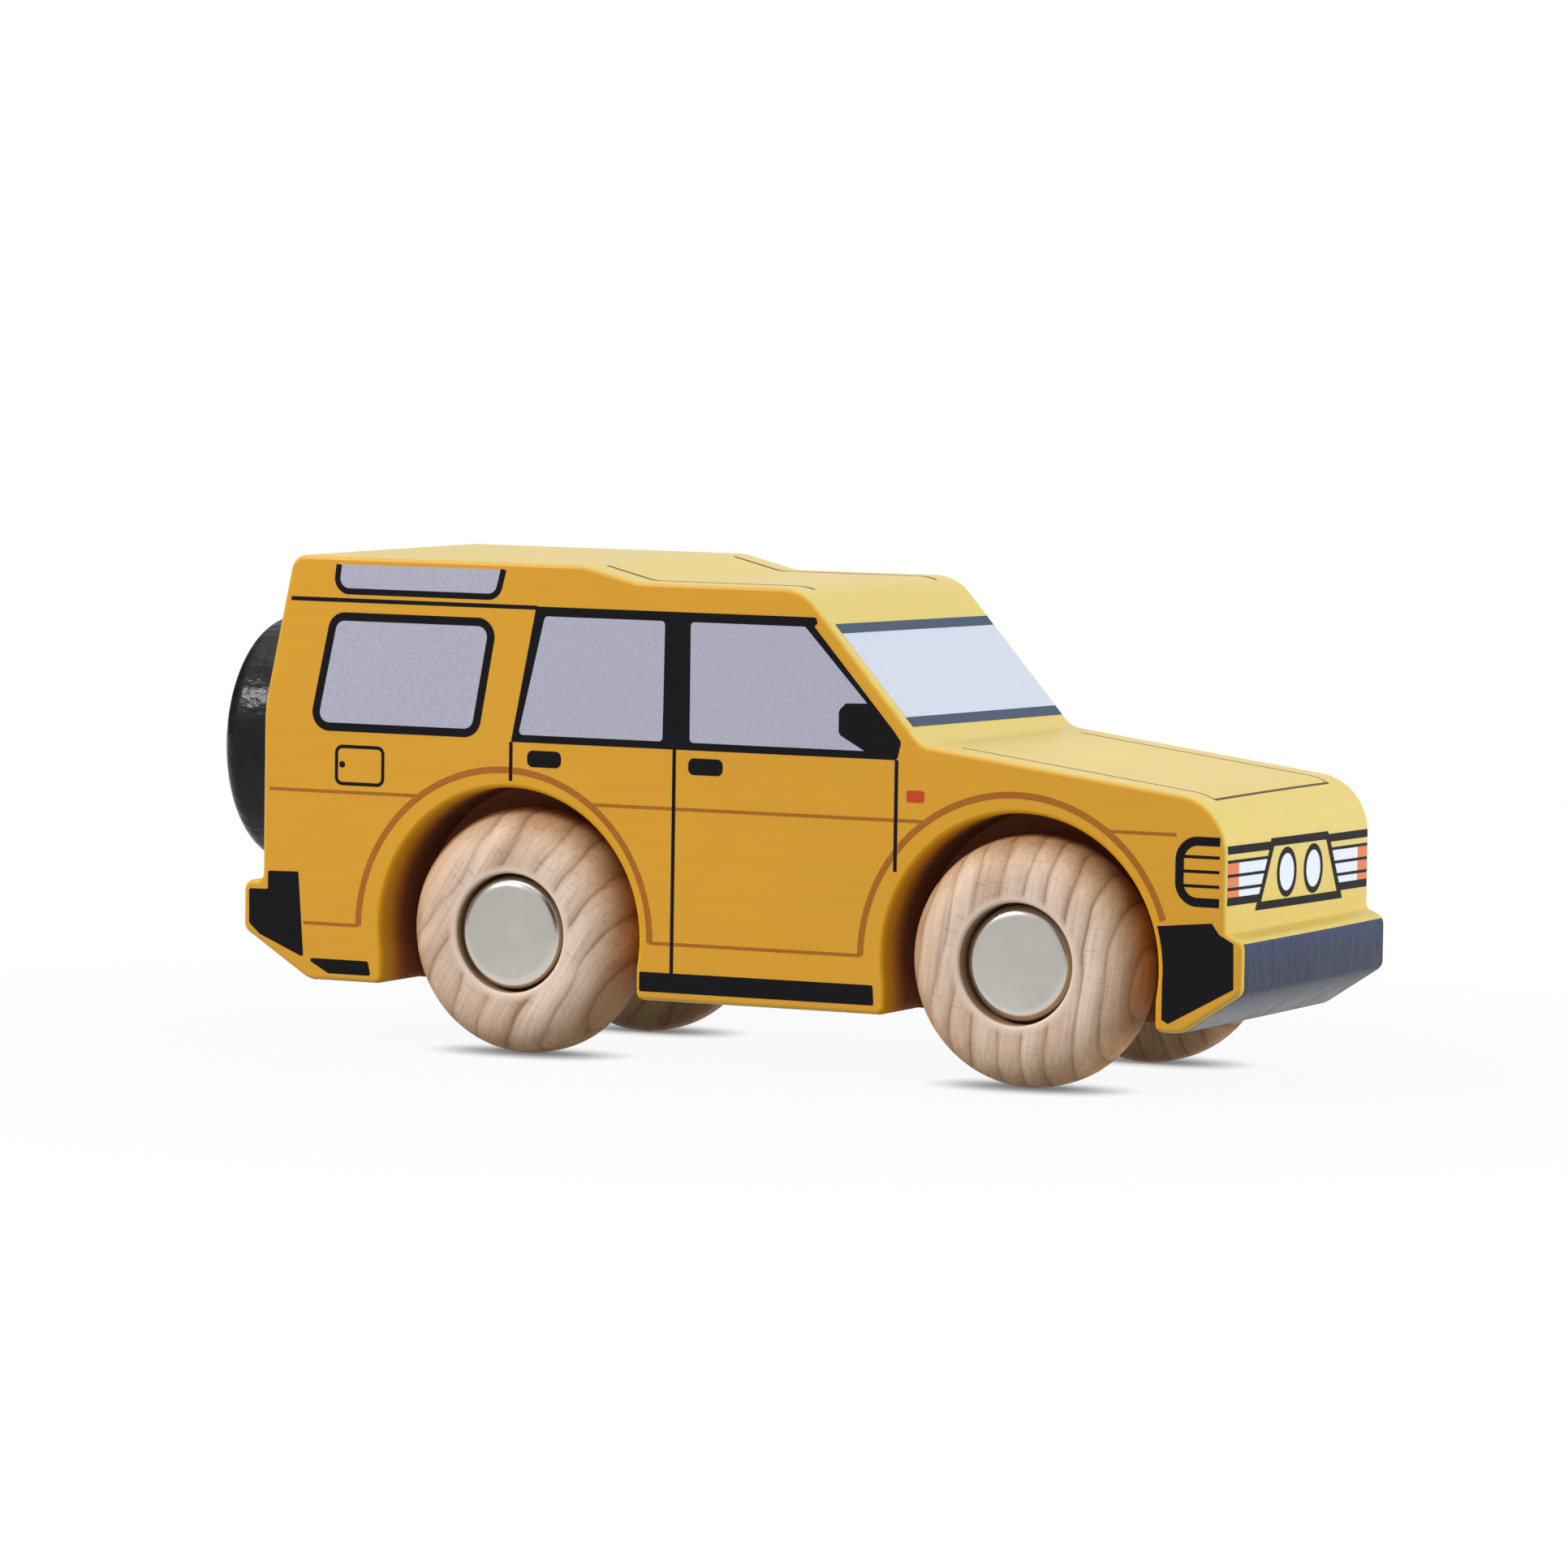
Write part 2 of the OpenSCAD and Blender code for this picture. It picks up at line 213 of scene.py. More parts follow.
def block_corners():
    """Corners of the block's outline, counterclockwise seen from its right side."""
    front_roof_z = ROOF_Z - ROOF_DROP
    return [
        (FRONT_X - FRONT_BEVEL_L, SILL_Z, BEVEL_R),
        (FRONT_X, AXLE_Z - FRONT_BUMPER_DROP, BUMPER_R),
        (FRONT_X, BUMPER_Z, BUMPER_R),
        (NOSE_X, BUMPER_Z + FRONT_BUMPER_FALL, BUMPER_HOLLOW_R),
        (NOSE_X, BONNET_Z - BONNET_FALL, NOSE_R),
        (WINDSCREEN_FOOT_X, BONNET_Z, WINDSCREEN_FOOT_R),
        (WINDSCREEN_TOP_X, front_roof_z, WINDSCREEN_TOP_R),
        (ROOF_STEP_X, front_roof_z, ROOF_STEP_R),
        (ROOF_STEP_X - ROOF_STEP_L, ROOF_Z, ROOF_STEP_R),
        (REAR_X + REAR_LEAN, ROOF_Z, ROOF_REAR_R),
        (REAR_X, AXLE_Z + REAR_LEAN_RISE, REAR_LEAN_R),
        (REAR_X, REAR_BUMPER_Z, BUMPER_HOLLOW_R),
        (BACK_X, REAR_BUMPER_Z, BUMPER_R),
        (BACK_X, AXLE_Z - REAR_BUMPER_DROP, BUMPER_R),
        (BACK_X + REAR_BEVEL_L, SILL_Z, BEVEL_R),
    ]


def arch_path(x):
    """Edge of a wheel well, from its rear foot over the wheel to its front foot."""
    leg = ARCH_R - ARCH_DRAW
    dip = math.degrees(math.acos(leg / ARCH_R))
    top = arc((x, AXLE_Z), ARCH_R, 180 + dip, -dip, BEND_STEP)
    rear_foot, front_foot = Vector((x - leg, SILL_Z)), Vector((x + leg, SILL_Z))
    along = Vector((ARCH_R, 0))
    return (
        bend(rear_foot - along, rear_foot, top[0], ARCH_FOOT_R, FOOT_STEP)
        + top
        + bend(top[-1], front_foot, front_foot + along, ARCH_FOOT_R, FOOT_STEP)
    )


# Meshes

def add_object(name, data):
    made = bpy.data.objects.new(name, data)
    bpy.context.scene.collection.objects.link(made)
    return made


def add_piece(name, bm, materials, body=CAR):
    """Turns a mesh in millimetres into a piece that rides on a body."""
    bmesh.ops.scale(bm, vec=(MM, MM, MM), verts=bm.verts[:])
    mesh = bpy.data.meshes.new(name)
    bm.to_mesh(mesh)
    bm.free()
    for material in materials:
        mesh.materials.append(material)
    piece = add_object(name, mesh)
    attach(piece, body)
    return piece


def add_smooth_piece(name, bm, materials, body=CAR):
    """The same for a closed mesh, shaded smooth except along its sharp edges."""
    bmesh.ops.recalc_face_normals(bm, faces=bm.faces[:])
    piece = add_piece(name, bm, materials, body)
    for polygon in piece.data.polygons:
        polygon.use_smooth = True
    piece.data.set_sharp_from_angle(angle=SHARP_ANGLE)
    return piece


def weigh_normals(piece):
    """Keeps the flat faces flat beside their rounded edges."""
    modifier = piece.modifiers.new("flat faces", "WEIGHTED_NORMAL")
    modifier.keep_sharp = True
    modifier.weight = FLAT_WEIGHT


def bow(x, y):
    """How far the nose stands out at a place along and across the car."""
    share = min(1.0, max(0.0, (x - FRONT_AXLE_X) / FRONT_OVERHANG))
    return NOSE_CROWN * (1 - (y / HALF_W) ** 2) * share


def row_across(bm, points, outward, y, offset=0.0):
    """One row of vertices that follows an outline of the block at a place across the car."""
    row = []
    for p, m in zip(points, outward):
        q = p + m * offset
        row.append(bm.verts.new((q.x + bow(q.x, y), y, q.y)))
    return row


def skin(bm, rows, closed=True):
    """Faces between neighbouring rows of vertices, returned row by row."""
    made = []
    for low, high in zip(rows, rows[1:]):
        n = len(low)
        last = n if closed else n - 1
        made.append([
            bm.faces.new((low[i], low[(i + 1) % n], high[(i + 1) % n], high[i])) for i in range(last)
        ])
    return made


def between(start, end, steps):
    return [start + (end - start) * i / steps for i in range(steps + 1)]


OUTLINE = rounded(block_corners())


def block_mesh():
    """The block with rounded edges and four blind wheel wells, whose faces take the second material."""
    wells = [arch_path(REAR_AXLE_X), arch_path(FRONT_AXLE_X)]
    arched = OUTLINE + wells[0] + wells[1]
    plain = OUTLINE + [p for well in wells for p in (well[0], well[-1])]
    arched_out, plain_out = mitres(arched), mitres(plain)
    bm = bmesh.new()
    middle = between(-WELL_FLOOR_Y, WELL_FLOOR_Y, MIDDLE_STEPS)
    skin(bm, [row_across(bm, plain, plain_out, y) for y in middle])
    for side in (LEFT, RIGHT):
        depths = between(WELL_FLOOR_Y, HALF_W - EDGE_R, WELL_STEPS)[:-1]
        rows = [row_across(bm, arched, arched_out, side * y) for y in depths]
        for a in between(math.pi / 2, 0, EDGE_STEPS):
            y = HALF_W - EDGE_R * (1 - math.cos(a))
            rows.append(row_across(bm, arched, arched_out, side * y, -EDGE_R * (1 - math.sin(a))))
        walls = skin(bm, rows)
        bm.faces.new(rows[-1])
        first = len(OUTLINE)
        for well in wells:
            last = first + len(well)
            inside = [face for strip in walls for face in strip[first:last - 1]]
            inside.append(bm.faces.new(rows[0][first:last]))
            for face in inside:
                face.material_index = 1
            first = last
    bmesh.ops.remove_doubles(bm, verts=bm.verts[:], dist=BLOCK_WELD)
    bmesh.ops.recalc_face_normals(bm, faces=bm.faces[:])
    return bm


def lathe(section, place):
    """Solid of revolution from (radius, height) points, turned round +Z and then placed by a matrix."""
    bm = bmesh.new()
    columns = []
    for radius, height in section:
        if radius == 0:
            columns.append([bm.verts.new((0, 0, height))])
            continue
        turns = [math.tau * i / TURNS for i in range(TURNS)]
        columns.append([bm.verts.new((radius * math.cos(a), radius * math.sin(a), height)) for a in turns])
    for one, two in zip(columns, columns[1:] + columns[:1]):
        if len(one) == len(two) == 1:
            continue
        for i in range(TURNS):
            j = (i + 1) % TURNS
            corners = [one[i % len(one)], one[j % len(one)], two[j % len(two)], two[i % len(two)]]
            bm.faces.new(list(dict.fromkeys(corners)))
    bmesh.ops.transform(bm, matrix=place, verts=bm.verts[:])
    return bm


def at_well(x, side, drawn_out):
    """Matrix that stands a turned piece over the floor of a wheel well, +Z outwards."""
    place = Matrix.Translation((x, side * (WELL_FLOOR_Y + drawn_out), AXLE_Z))
    return place @ Matrix.Rotation(-side * math.pi / 2, 4, "X")


# Materials

class Nodes:
    """Short calls that make the nodes of a tree."""

    def __init__(self, tree):
        self.tree = tree

    def node(self, kind, inputs=None, **settings):
        made = self.tree.nodes.new(kind)
        for key, value in settings.items():
            setattr(made, key, value)
        for key, value in (inputs or {}).items():
            self.feed(made.inputs[key], value)
        return made

    def feed(self, socket, value):
        if isinstance(value, bpy.types.NodeSocket):
            self.tree.links.new(value, socket)
        else:
            socket.default_value = value

    def math(self, operation, one, two=0.0):
        return self.node("ShaderNodeMath", {0: one, 1: two}, operation=operation).outputs[0]

    def length(self, vector):
        return self.node("ShaderNodeVectorMath", {0: vector}, operation="LENGTH").outputs["Value"]


class Shader(Nodes):
    """Nodes of a material with one shader."""

    def __init__(self, name, roughness=0.5, metallic=0.0, coat=0.0, coat_roughness=0.2, specular=0.5):
        self.material = bpy.data.materials.new(name)
        self.material.use_nodes = True
        super().__init__(self.material.node_tree)
        self.bsdf = self.tree.nodes["Principled BSDF"]
        settings = {
            "Roughness": roughness, "Metallic": metallic, "Coat Weight": coat,
            "Coat Roughness": coat_roughness, "Specular IOR Level": specular,
        }
        for socket, value in settings.items():
            self.bsdf.inputs[socket].default_value = value
        coords = self.node("ShaderNodeTexCoord").outputs
        self.coords, self.facing = coords["Object"], coords["Normal"]

    def stretched(self, per_mm, at=(0, 0, 0), turn=(0, 0, 0)):
        """Object coordinates in millimetres about a place, turned and scaled along each axis."""
        back = tuple(-c * MM for c in at)
        scale = tuple(s / MM for s in per_mm)
        moved = self.node("ShaderNodeVectorMath", {0: self.coords, 1: back}, operation="ADD").outputs[0]
        inputs = {"Vector": moved, "Rotation": turn}
        turned = self.node("ShaderNodeVectorRotate", inputs, rotation_type="EULER_XYZ").outputs[0]
        return self.node("ShaderNodeVectorMath", {0: turned, 1: scale}, operation="MULTIPLY").outputs[0]

    def noise(self, per_mm, at=(0, 0, 0), turn=(0, 0, 0), detail=3.0, roughness=0.55):
        """Noise about a place, turned, with its own fineness along each axis."""
        vector = self.stretched(per_mm, at, turn)
        inputs = {"Vector": vector, "Scale": 1.0, "Detail": detail, "Roughness": roughness}
        return self.node("ShaderNodeTexNoise", inputs).outputs["Fac"]

    def axis(self, vector, index, absolute=False):
        """One component of a vector, or its size without the sign."""
        value = self.node("ShaderNodeSeparateXYZ", {0: vector}).outputs[index]
        return self.math("ABSOLUTE", value) if absolute else value

    def span(self, value, low, high):
        """0 at low and 1 at high."""
        inputs = {"Value": value, "From Min": low, "From Max": high}
        return self.node("ShaderNodeMapRange", inputs).outputs["Result"]

    def ramp(self, factor, *stops):
        """Colours or grey values at places from 0 to 1."""
        made = self.node("ShaderNodeValToRGB", {"Fac": factor})
        elements = made.color_ramp.elements
        while len(elements) < len(stops):
            elements.new(0.5)
        for element, (place, value) in zip(elements, stops):
            element.position = place
            element.color = (*value, 1) if isinstance(value, tuple) else (value, value, value, 1)
        return made.outputs["Color"]

    def vary(self, noise, one, two):
        """From one colour or grey value to another, as far as the noise takes it."""
        return self.ramp(noise, (NOISE_LOW, one), (NOISE_HIGH, two))

    def mix(self, factor, one, two, kind="MIX"):
        made = self.node("ShaderNodeMix", data_type="RGBA", blend_type=kind)
        for socket, value in ((made.inputs[0], factor), (made.inputs[6], one), (made.inputs[7], two)):
            self.feed(socket, (*value, 1) if isinstance(value, tuple) else value)
        return made.outputs[2]

    def bump(self, height, depth_mm, strength=1.0, under=None):
        inputs = {"Height": height, "Distance": depth_mm * MM, "Strength": strength}
        made = self.node("ShaderNodeBump", inputs)
        if under is not None:
            self.feed(made.inputs["Normal"], under)
        return made.outputs["Normal"]

    def paint(self, color=None, roughness=None, normal=None):
        for key, value in (("Base Color", color), ("Roughness", roughness), ("Normal", normal)):
            if value is not None:
                self.feed(self.bsdf.inputs[key], value)
        return self.material


# Yellow paint: AMBER on the sides, and LEMON and PALE_LEMON as painted light on the top, the ends and the
# upper nose
AMBER, LEMON, PALE_LEMON = (0.7, 0.34, 0.01), (0.62, 0.45, 0.06), (0.64, 0.5, 0.115)
IN_MM = (1.0, 1.0, 1.0)
# Noise stays mostly between these values
NOISE_LOW, NOISE_HIGH = 0.3, 0.7

# Heights between which the nose is painted paler, as painted light, and over which the painted reflection of
# the floor on the slate bumpers fades out
PALE_NOSE_LOW, PALE_NOSE_HIGH = 20.0, 27.0
FLOOR_REFLECTION_LOW, FLOOR_REFLECTION_HIGH = 9.5, 13.0
# Height of the band of painted bluish reflection along the top of a bumper
BLUE_BAND_H = 3.0
# How far into a wheel well the painted shade takes over from the paint
WELL_SHADE_DEPTH = 6.0
# Radius from which a wheel's wood carries painted warm shade, the lip round its counterbore with its painted
# highlight, and the painted shade on the counterbore's wall
RIM_SHADE_R = 9.5
LIP_OUTER_R, LIP_INNER_R, MOUTH_R = COUNTERBORE_R + 1.2, COUNTERBORE_R + 0.4, COUNTERBORE_R + 0.1
LIP_HIGHLIGHT, MOUTH_SHADE = (0.75, 0.6, 0.48), (0.36, 0.215, 0.125)


def painted_wood():
    """Satin yellow paint with the grain of the block showing faintly; painted light makes it paler on top and
    at the ends and deeper amber on the sides.
    """
    s = Shader("yellow paint", roughness=0.42, coat=0.25, coat_roughness=0.3)
    grain = s.noise((0.04, 0.9, 0.9), detail=5)
    peel = s.noise((1.6, 1.6, 1.6), detail=2)
    patches = s.noise((0.05, 0.07, 0.07))
    # Painted light: faces that look sideways are painted deeper amber, faces that look up, forwards or
    # backwards paler lemon
    tone = s.ramp(s.axis(s.facing, Y, absolute=True), (0.45, LEMON), (0.9, AMBER))
    forward = s.span(s.axis(s.facing, X), 0.3, 0.9)
    height = s.axis(s.stretched(IN_MM), Z)
    # Painted light: the upper nose, where it faces forwards, is painted paler still
    painted_nose_light = s.math("MULTIPLY", forward, s.span(height, PALE_NOSE_LOW, PALE_NOSE_HIGH))
    tone = s.mix(painted_nose_light, tone, PALE_LEMON)
    uneven = s.vary(patches, 0.95, 1.0)
    shades = s.mix(1.0, uneven, s.ramp(grain, (0.3, 0.965), (0.6, 1.0)), "MULTIPLY")
    return s.paint(
        s.mix(1.0, tone, shades, "MULTIPLY"), s.vary(peel, 0.37, 0.48),
        s.bump(peel, 0.02, 0.2, s.bump(grain, 0.05, 0.25)),
    )


def well_painted_shade():
    """Yellow paint at the mouth of a wheel well, painted darker further in as painted shade in the recess."""
    s = Shader("wheel well", roughness=0.75, specular=0.2)
    across = s.axis(s.stretched(IN_MM), Y, absolute=True)
    cuts = s.noise((1.2, 0.15, 1.2), detail=4)
    ragged = s.math("MULTIPLY", s.math("SUBTRACT", cuts, 0.5), 0.25)
    depth = s.math("ADD", s.span(across, HALF_W, HALF_W - WELL_SHADE_DEPTH), ragged)
    # Painted shade: yellow at the mouth, dark brown deep in the well where shade falls
    color = s.ramp(
        depth, (0.0, AMBER), (0.4, (0.7, 0.31, 0.025)), (0.75, (0.52, 0.19, 0.035)),
        (1.0, (0.36, 0.125, 0.06)),
    )
    return s.paint(color, normal=s.bump(cuts, 0.08, 0.5))


def ink(name, dark, light, roughness=0.55, speckle=3.0, specular=0.25):
    """Printed ink with a fine speckle of its own."""
    s = Shader(name, roughness=roughness, specular=specular)
    dots = s.noise((speckle,) * 3, detail=2, roughness=0.7)
    return s.paint(
        s.ramp(dots, (0.35, dark), (0.65, light)),
        s.vary(dots, roughness - 0.06, roughness + 0.06),
        s.bump(dots, 0.01, 0.15),
    )


def bumper_paint():
    """Slate paint over end grain with upright streaks, a painted bluish reflection along the top and a
    painted reflection of the floor underneath.
    """
    s = Shader("slate paint", roughness=0.5, specular=0.25)
    streaks = s.noise((0.3, 1.3, 0.05), detail=6, roughness=0.65)
    fine = s.noise((2.0, 5.0, 0.4), detail=2)
    color = s.ramp(
        streaks, (0.32, (0.018, 0.023, 0.046)), (0.55, (0.026, 0.033, 0.062)), (0.75, (0.042, 0.052, 0.086)),
    )
    # Painted reflection of the white floor: paler grey on faces that look down, low on the bumper
    painted_floor_reflection = s.ramp(
        streaks, (0.32, (0.14, 0.145, 0.165)), (0.6, (0.32, 0.325, 0.345)), (0.75, (0.4, 0.4, 0.42)),
    )
    height = s.axis(s.stretched(IN_MM), Z)
    downward = s.span(s.axis(s.facing, Z), -0.15, -0.6)
    color = s.mix(s.math("MULTIPLY", downward, s.span(height, FLOOR_REFLECTION_HIGH, FLOOR_REFLECTION_LOW)), color, painted_floor_reflection)
    # Painted reflection: a bluer band along the rounded top edge
    top = s.span(height, BUMPER_Z - BLUE_BAND_H, BUMPER_Z)
    return s.paint(
        s.mix(top, color, s.mix(1.0, color, (0.95, 1.3, 1.7), "MULTIPLY")),
        s.vary(fine, 0.42, 0.62), s.bump(fine, 0.03, 0.4, s.bump(streaks, 0.12, 0.6)),
    )


def growth_lines(s, place, turned, spacing, wander_mm):
    """Strength of wavy growth lines, from 0 to 1."""
    wander = s.noise((0.09, 0.05, 0.05), place, turned, detail=2)
    across = s.axis(s.stretched((1 / spacing,) * 3, place, turned), X)
    line_at = s.math("ADD", across, s.math("MULTIPLY", wander, wander_mm / spacing))
    strength = s.noise((0.16, 0.1, 0.06), place, turned, detail=2)
    lines = s.ramp(
        s.math("FRACT", line_at),
        (0.0, 0.25), (0.12, 0.0), (0.5, 0.08), (0.82, 0.5), (0.93, 1.0), (1.0, 0.25),
    )
    return s.math("MULTIPLY", lines, s.ramp(strength, (0.35, 0.5), (0.65, 1.0)))


def painted_wheel_light(s, tone, centre):
    """Painted light and shade on a wheel: warm shade towards the rim, a pale highlight on the lip and shade
    on the wall of its counterbore.
    """
    reach = s.length(s.stretched((1.0, 0.0, 1.0), centre))
    outer = s.span(reach, RIM_SHADE_R, WHEEL_R)
    rim = s.ramp(outer, (0.0, 1.0), (0.5, (0.96, 0.92, 0.83)), (1.0, (0.76, 0.58, 0.36)))
    tone = s.mix(1.0, tone, rim, "MULTIPLY")
    tone = s.mix(s.span(reach, LIP_OUTER_R, LIP_INNER_R), tone, LIP_HIGHLIGHT)
    return s.mix(s.span(reach, MOUTH_R, COUNTERBORE_R), tone, MOUTH_SHADE)


def beech(name, centre, turn, shift, spacing, wander_mm):
    """Bare beech: growth lines and short flecks along the grain, which lies in the plane of the wheel."""
    s = Shader(name, roughness=0.6, specular=0.3)
    turned = (0.0, math.radians(turn), 0.0)
    place = (centre.x - shift, centre.y, centre.z)
    fibres = s.noise((2.6, 1.2, 0.09), place, turned, detail=4, roughness=0.6)
    flecks = s.noise((0.55, 2.0, 3.2), place, turned, detail=2, roughness=0.6)
    cloud = s.noise((0.12, 0.12, 0.12), place, turned, detail=2)
    bands = s.noise((0.3, 0.1, 0.03), place, turned, detail=3)
    pale = s.vary(cloud, (0.74, 0.56, 0.44), (0.8, 0.64, 0.54))
    dark = s.mix(1.0, pale, (0.44, 0.31, 0.21), "MULTIPLY")
    tone = s.mix(growth_lines(s, place, turned, spacing, wander_mm), pale, dark)
    shades = (
        s.ramp(fibres, (0.3, 0.84), (0.62, 1.05)), s.ramp(flecks, (0.28, 0.8), (0.42, 1.0)),
        s.ramp(bands, (0.36, (0.84, 0.77, 0.7)), (0.6, (1.03, 1.03, 1.03))),
    )
    for shade in shades:
        tone = s.mix(1.0, tone, shade, "MULTIPLY")
    # Painted warm shade near the rim, painted highlight on the lip and painted shade in the counterbore
    tone = painted_wheel_light(s, tone, centre)
    return s.paint(tone, s.vary(fibres, 0.68, 0.52), s.bump(fibres, 0.05, 0.35))


def nickel():
    """Satin nickel plate with a faint uneven polish."""
    s = Shader("satin nickel", roughness=0.3, metallic=1.0)
    cloud = s.noise((0.25, 0.25, 0.25), detail=3)
    scuffs = s.noise((2.5, 2.5, 2.5), detail=4, roughness=0.7)
    return s.paint(
        s.vary(cloud, (0.8, 0.765, 0.7), (0.86, 0.835, 0.78)),
        s.vary(cloud, 0.22, 0.28), s.bump(scuffs, 0.004, 0.02),
    )


def steel(name, dark, light):
    """Drawn or rolled steel, with streaks along the axle."""
    s = Shader(name, roughness=0.35, metallic=1.0)
    streaks = s.noise((2.0, 0.15, 2.0), detail=4)
    return s.paint(s.vary(streaks, dark, light), s.vary(streaks, 0.28, 0.42))


def gloss_black():
    """Thick black gloss paint that follows the grain under it."""
    s = Shader("gloss black paint", roughness=0.3, coat=0.45, coat_roughness=0.2, specular=0.03)
    grain = s.noise((0.12, 0.9, 0.16), detail=4)
    peel = s.noise((0.9, 0.9, 0.9), detail=2)
    relief = s.bump(peel, 0.09, 0.7, s.bump(grain, 0.25, 0.8))
    s.feed(s.bsdf.inputs["Coat Normal"], relief)
    return s.paint(
        s.vary(peel, (0.006, 0.006, 0.008), (0.011, 0.011, 0.014)),
        s.vary(grain, 0.2, 0.34), relief,
    )


def dowel_wood():
    """Plain beech dowel, with its grain along the car."""
    s = Shader("dowel wood", roughness=0.65, specular=0.3)
    fibres = s.noise((0.1, 2.0, 2.0), detail=4)
    return s.paint(
        s.vary(fibres, (0.45, 0.3, 0.19), (0.62, 0.44, 0.29)), normal=s.bump(fibres, 0.05, 0.4),
    )


PAINT = painted_wood()
BLACK_INK = ink("black ink", (0.006, 0.006, 0.0075), (0.0095, 0.0095, 0.0115), specular=0.1)
SEAM_INK = ink("seam ink", (0.06, 0.05, 0.03), (0.1, 0.085, 0.05), specular=0.1)
GLASS_INK = ink("lilac grey ink", (0.38, 0.375, 0.47), (0.46, 0.455, 0.56), speckle=3.5)
BROWN_INK = ink("brown ink", (0.34, 0.115, 0.011), (0.41, 0.145, 0.015))
RED_INK = ink("red ink", (0.52, 0.05, 0.015), (0.6, 0.065, 0.02))
ORANGE_INK = ink("orange ink", (0.62, 0.17, 0.07), (0.7, 0.22, 0.1))
WHITE_INK = ink("white ink", (0.64, 0.69, 0.76), (0.7, 0.75, 0.81))
SKY_INK = ink("pale blue ink", (0.5, 0.55, 0.67), (0.55, 0.595, 0.715), roughness=0.45, speckle=1.5)
STRIP_INK = ink("slate blue ink", (0.04, 0.064, 0.108), (0.056, 0.084, 0.135), specular=0.15)
SLATE = bumper_paint()
NICKEL = nickel()


# Prints: flat shapes that are laid on the block as thin films of ink

BLOCK = block_mesh()
BLOCK_TREE = BVHTree.FromBMesh(BLOCK)

# Thickness of a film, the step between layers of ink and a place well clear of the car
FILM, LAYER, FAR = 0.09, 0.01, 200.0

# The prints sit a little behind mid wheelbase and above the floor, and the front print a little askew
PRINT_X = MIDDLE_X - 1.05
PRINT_Z = 0.25
FRONT_TILT = -0.014


def fill(outline):
    return [[Vector(p) for p in outline]]


def band(path, width, closed=False):
    """Four-sided faces along a path, half the width to each side."""
    path = [Vector(p) for p in path]
    moves = mitres(path, closed)
    right = [p + m * width / 2 for p, m in zip(path, moves)]
    left = [p - m * width / 2 for p, m in zip(path, moves)]
    n = len(path)
    last = n if closed else n - 1
    return [[right[i], right[(i + 1) % n], left[(i + 1) % n], left[i]] for i in range(last)]


def short_steps(length):
    """How many short steps a length is cut into."""
    return max(1, math.ceil(length / PRINT_STEP))


def dense(corners):
    """Points along a closed outline, close enough together to follow a curved surface."""
    points = [Vector(c) for c in corners]
    path = []
    for start, end in zip(points, points[1:] + points[:1]):
        steps = short_steps((end - start).length)
        path += [start.lerp(end, i / steps) for i in range(steps)]
    return path


def line(start, end, width):
    """A straight band, cut into short faces so that it can follow a curved surface."""
    start, end = Vector(start), Vector(end)
    steps = short_steps((end - start).length)
    return band([start.lerp(end, i / steps) for i in range(steps + 1)], width)


def patch(corners):
    """A four-cornered area, given round its edge, cut into small faces."""
    a, b, c, d = (Vector(p) for p in corners)
    columns = short_steps(max((b - a).length, (c - d).length))
    rows = short_steps(max((d - a).length, (c - b).length))

    def at(i, j):
        return a.lerp(b, i / columns).lerp(d.lerp(c, i / columns), j / rows)

    return [
        [at(i, j), at(i + 1, j), at(i + 1, j + 1), at(i, j + 1)] for i in range(columns) for j in range(rows)
    ]


def circle(centre, radius):
    return arc(centre, radius, 0, 360, CIRCLE_STEP)[:-1]


def rectangle(left, right, low, high):
    return [(left, low), (right, low), (right, high), (left, high)]


def around(centre, size):
    (x, z), (w, h) = centre, size
    return rectangle(x - w / 2, x + w / 2, z - h / 2, z + h / 2)


def on_side(side, layer):
    """Lays (along the car, height) points of the prints on a side of the block."""
    return lambda p: Vector((p.x + PRINT_X, side * (HALF_W + layer * LAYER), p.y + PRINT_Z))


def cast(start, direction, layer):
    hit, normal, _, _ = BLOCK_TREE.ray_cast(start, direction)
    outward = normal if normal.dot(direction) < 0 else -normal
    return hit + outward * layer * LAYER


def on_front(layer):
    """Lays (across, height) points on what faces forwards."""
    return lambda p: cast(Vector((FAR, p.x, p.y + FRONT_TILT * p.x)), Vector((-1, 0, 0)), layer)


def on_rear(layer):
    """Lays (across, height) points on what faces backwards."""
    return lambda p: cast(Vector((-FAR, p.x, p.y)), Vector((1, 0, 0)), layer)


def on_top(layer):
    """Lays (along the car, across) points of the prints on what faces up."""
    return lambda p: cast(Vector((p.x + PRINT_X, p.y, FAR)), Vector((0, 0, -1)), layer)


def add_film(name, bm, material):
    """A film of ink, closed all round, from a sheet that is its outer face."""
    bmesh.ops.recalc_face_normals(bm, faces=bm.faces[:])
    for face in bm.faces:
        normal = BLOCK_TREE.find_nearest(face.calc_center_median())[1]
        if normal.dot(face.normal) < 0:
            face.normal_flip()
    piece = add_piece(name, bm, [material])
    modifier = piece.modifiers.new("film", "SOLIDIFY")
    modifier.thickness = FILM * MM
    modifier.offset = -1


def print_on(name, faces, place, material):
    """A film made of flat faces, with its outer face where place puts it."""
    bm = bmesh.new()
    for face in faces:
        bm.faces.new([bm.verts.new(place(p)) for p in face])
    bmesh.ops.remove_doubles(bm, verts=bm.verts[:], dist=PRINT_WELD)
    add_film(name, bm, material)


